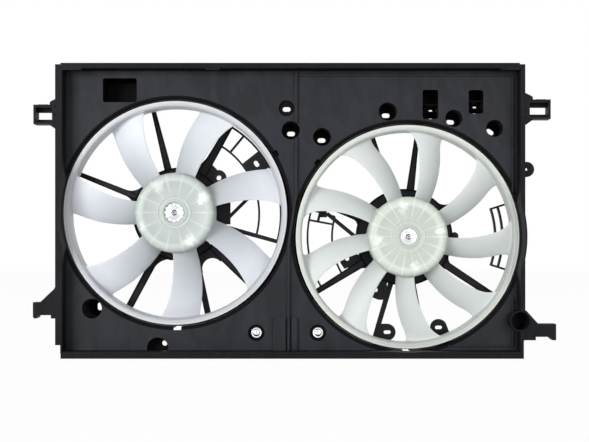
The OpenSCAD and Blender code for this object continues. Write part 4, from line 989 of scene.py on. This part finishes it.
panel_screws = joined(
    "washer_head_screws",
    [washer_head_screw(f"{side}_panel_screw", place) for side, place in SCREWS.items()],
)
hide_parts("panel_screws")
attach(panel_screws, "shroud")


# Camera, floor and light

FLOOR_HALF = 6.0  # metres
PAPER_WHITE = 0.96
SKY_LIGHT = 0.32

scene = bpy.context.scene
camera_data = bpy.data.cameras.new("camera")
camera_data.sensor_width = 36.0
camera_data.lens = 61.12
camera_data.shift_x = -0.0093
camera_data.shift_y = 0.0492
camera_data.clip_end = 50.0
camera = new_object("camera", camera_data)
camera.location = (0.00805, -1.54275, 0.1603)
camera.rotation_euler = (math.pi / 2, 0.0, 0.0)
scene.camera = camera


def background_rays(tree):
    """1 for rays that see the background itself, in view, in gloss or through plastic."""
    ray = add_node(tree, "ShaderNodeLightPath").outputs
    seen = ray["Is Camera Ray"]
    for kind in ("Is Glossy Ray", "Is Transmission Ray"):
        seen = add_node(tree, "ShaderNodeMath", {0: seen, 1: ray[kind]}, operation="MAXIMUM")
    return seen


# Paper that shows nearly white, and still takes the part's shadow
seamless = bpy.data.materials.new("white_seamless_paper")
seamless.use_nodes = True
tree = seamless.node_tree
tree.nodes.clear()
paper = add_node(tree, "ShaderNodeBsdfDiffuse", {"Color": colour("#f4f4f4")})
shine = add_node(tree, "ShaderNodeEmission", {"Color": WHITE, "Strength": 1.0})
share = add_node(
    tree, "ShaderNodeMath", {0: background_rays(tree), 1: PAPER_WHITE}, operation="MULTIPLY"
)
mixed = add_node(tree, "ShaderNodeMixShader", {0: share, 1: paper, 2: shine})
add_node(tree, "ShaderNodeOutputMaterial", {"Surface": mixed})
floor_mesh = bpy.data.meshes.new("floor")
corners = [(x * FLOOR_HALF, y * FLOOR_HALF, 0.0) for x, y in ((-1, -1), (1, -1), (1, 1), (-1, 1))]
floor_mesh.from_pydata(corners, [], [(0, 1, 2, 3)])
floor_mesh.materials.append(seamless)
floor = new_object("floor", floor_mesh)

world = bpy.data.worlds.new("studio")
scene.world = world
world.use_nodes = True
tree = world.node_tree
tree.nodes.clear()
strength = add_node(
    tree,
    "ShaderNodeMapRange",
    {"Value": background_rays(tree), "To Min": SKY_LIGHT, "To Max": 1.0},
)
sky = add_node(tree, "ShaderNodeBackground", {"Color": WHITE, "Strength": strength})
add_node(tree, "ShaderNodeOutputWorld", {"Surface": sky})


def softbox(name, place, power, size):
    """A square area lamp aimed at the middle of the part."""
    data = bpy.data.lights.new(name, "AREA")
    data.shape = "SQUARE"
    data.size = size
    data.energy = power
    lamp = new_object(name, data)
    lamp.location = place
    aim = Vector((0.0, 0.0, 0.2)) - Vector(place)
    lamp.rotation_euler = aim.to_track_quat("-Z", "Y").to_euler()


softbox("key", (-1.5, -2.1, 0.45), 43.5, 1.2)
softbox("fill", (1.2, -2.3, 0.45), 20.0, 1.4)
softbox("rim", (0.2, 1.3, 1.7), 12.0, 1.2)

scene.view_settings.view_transform = "Standard"
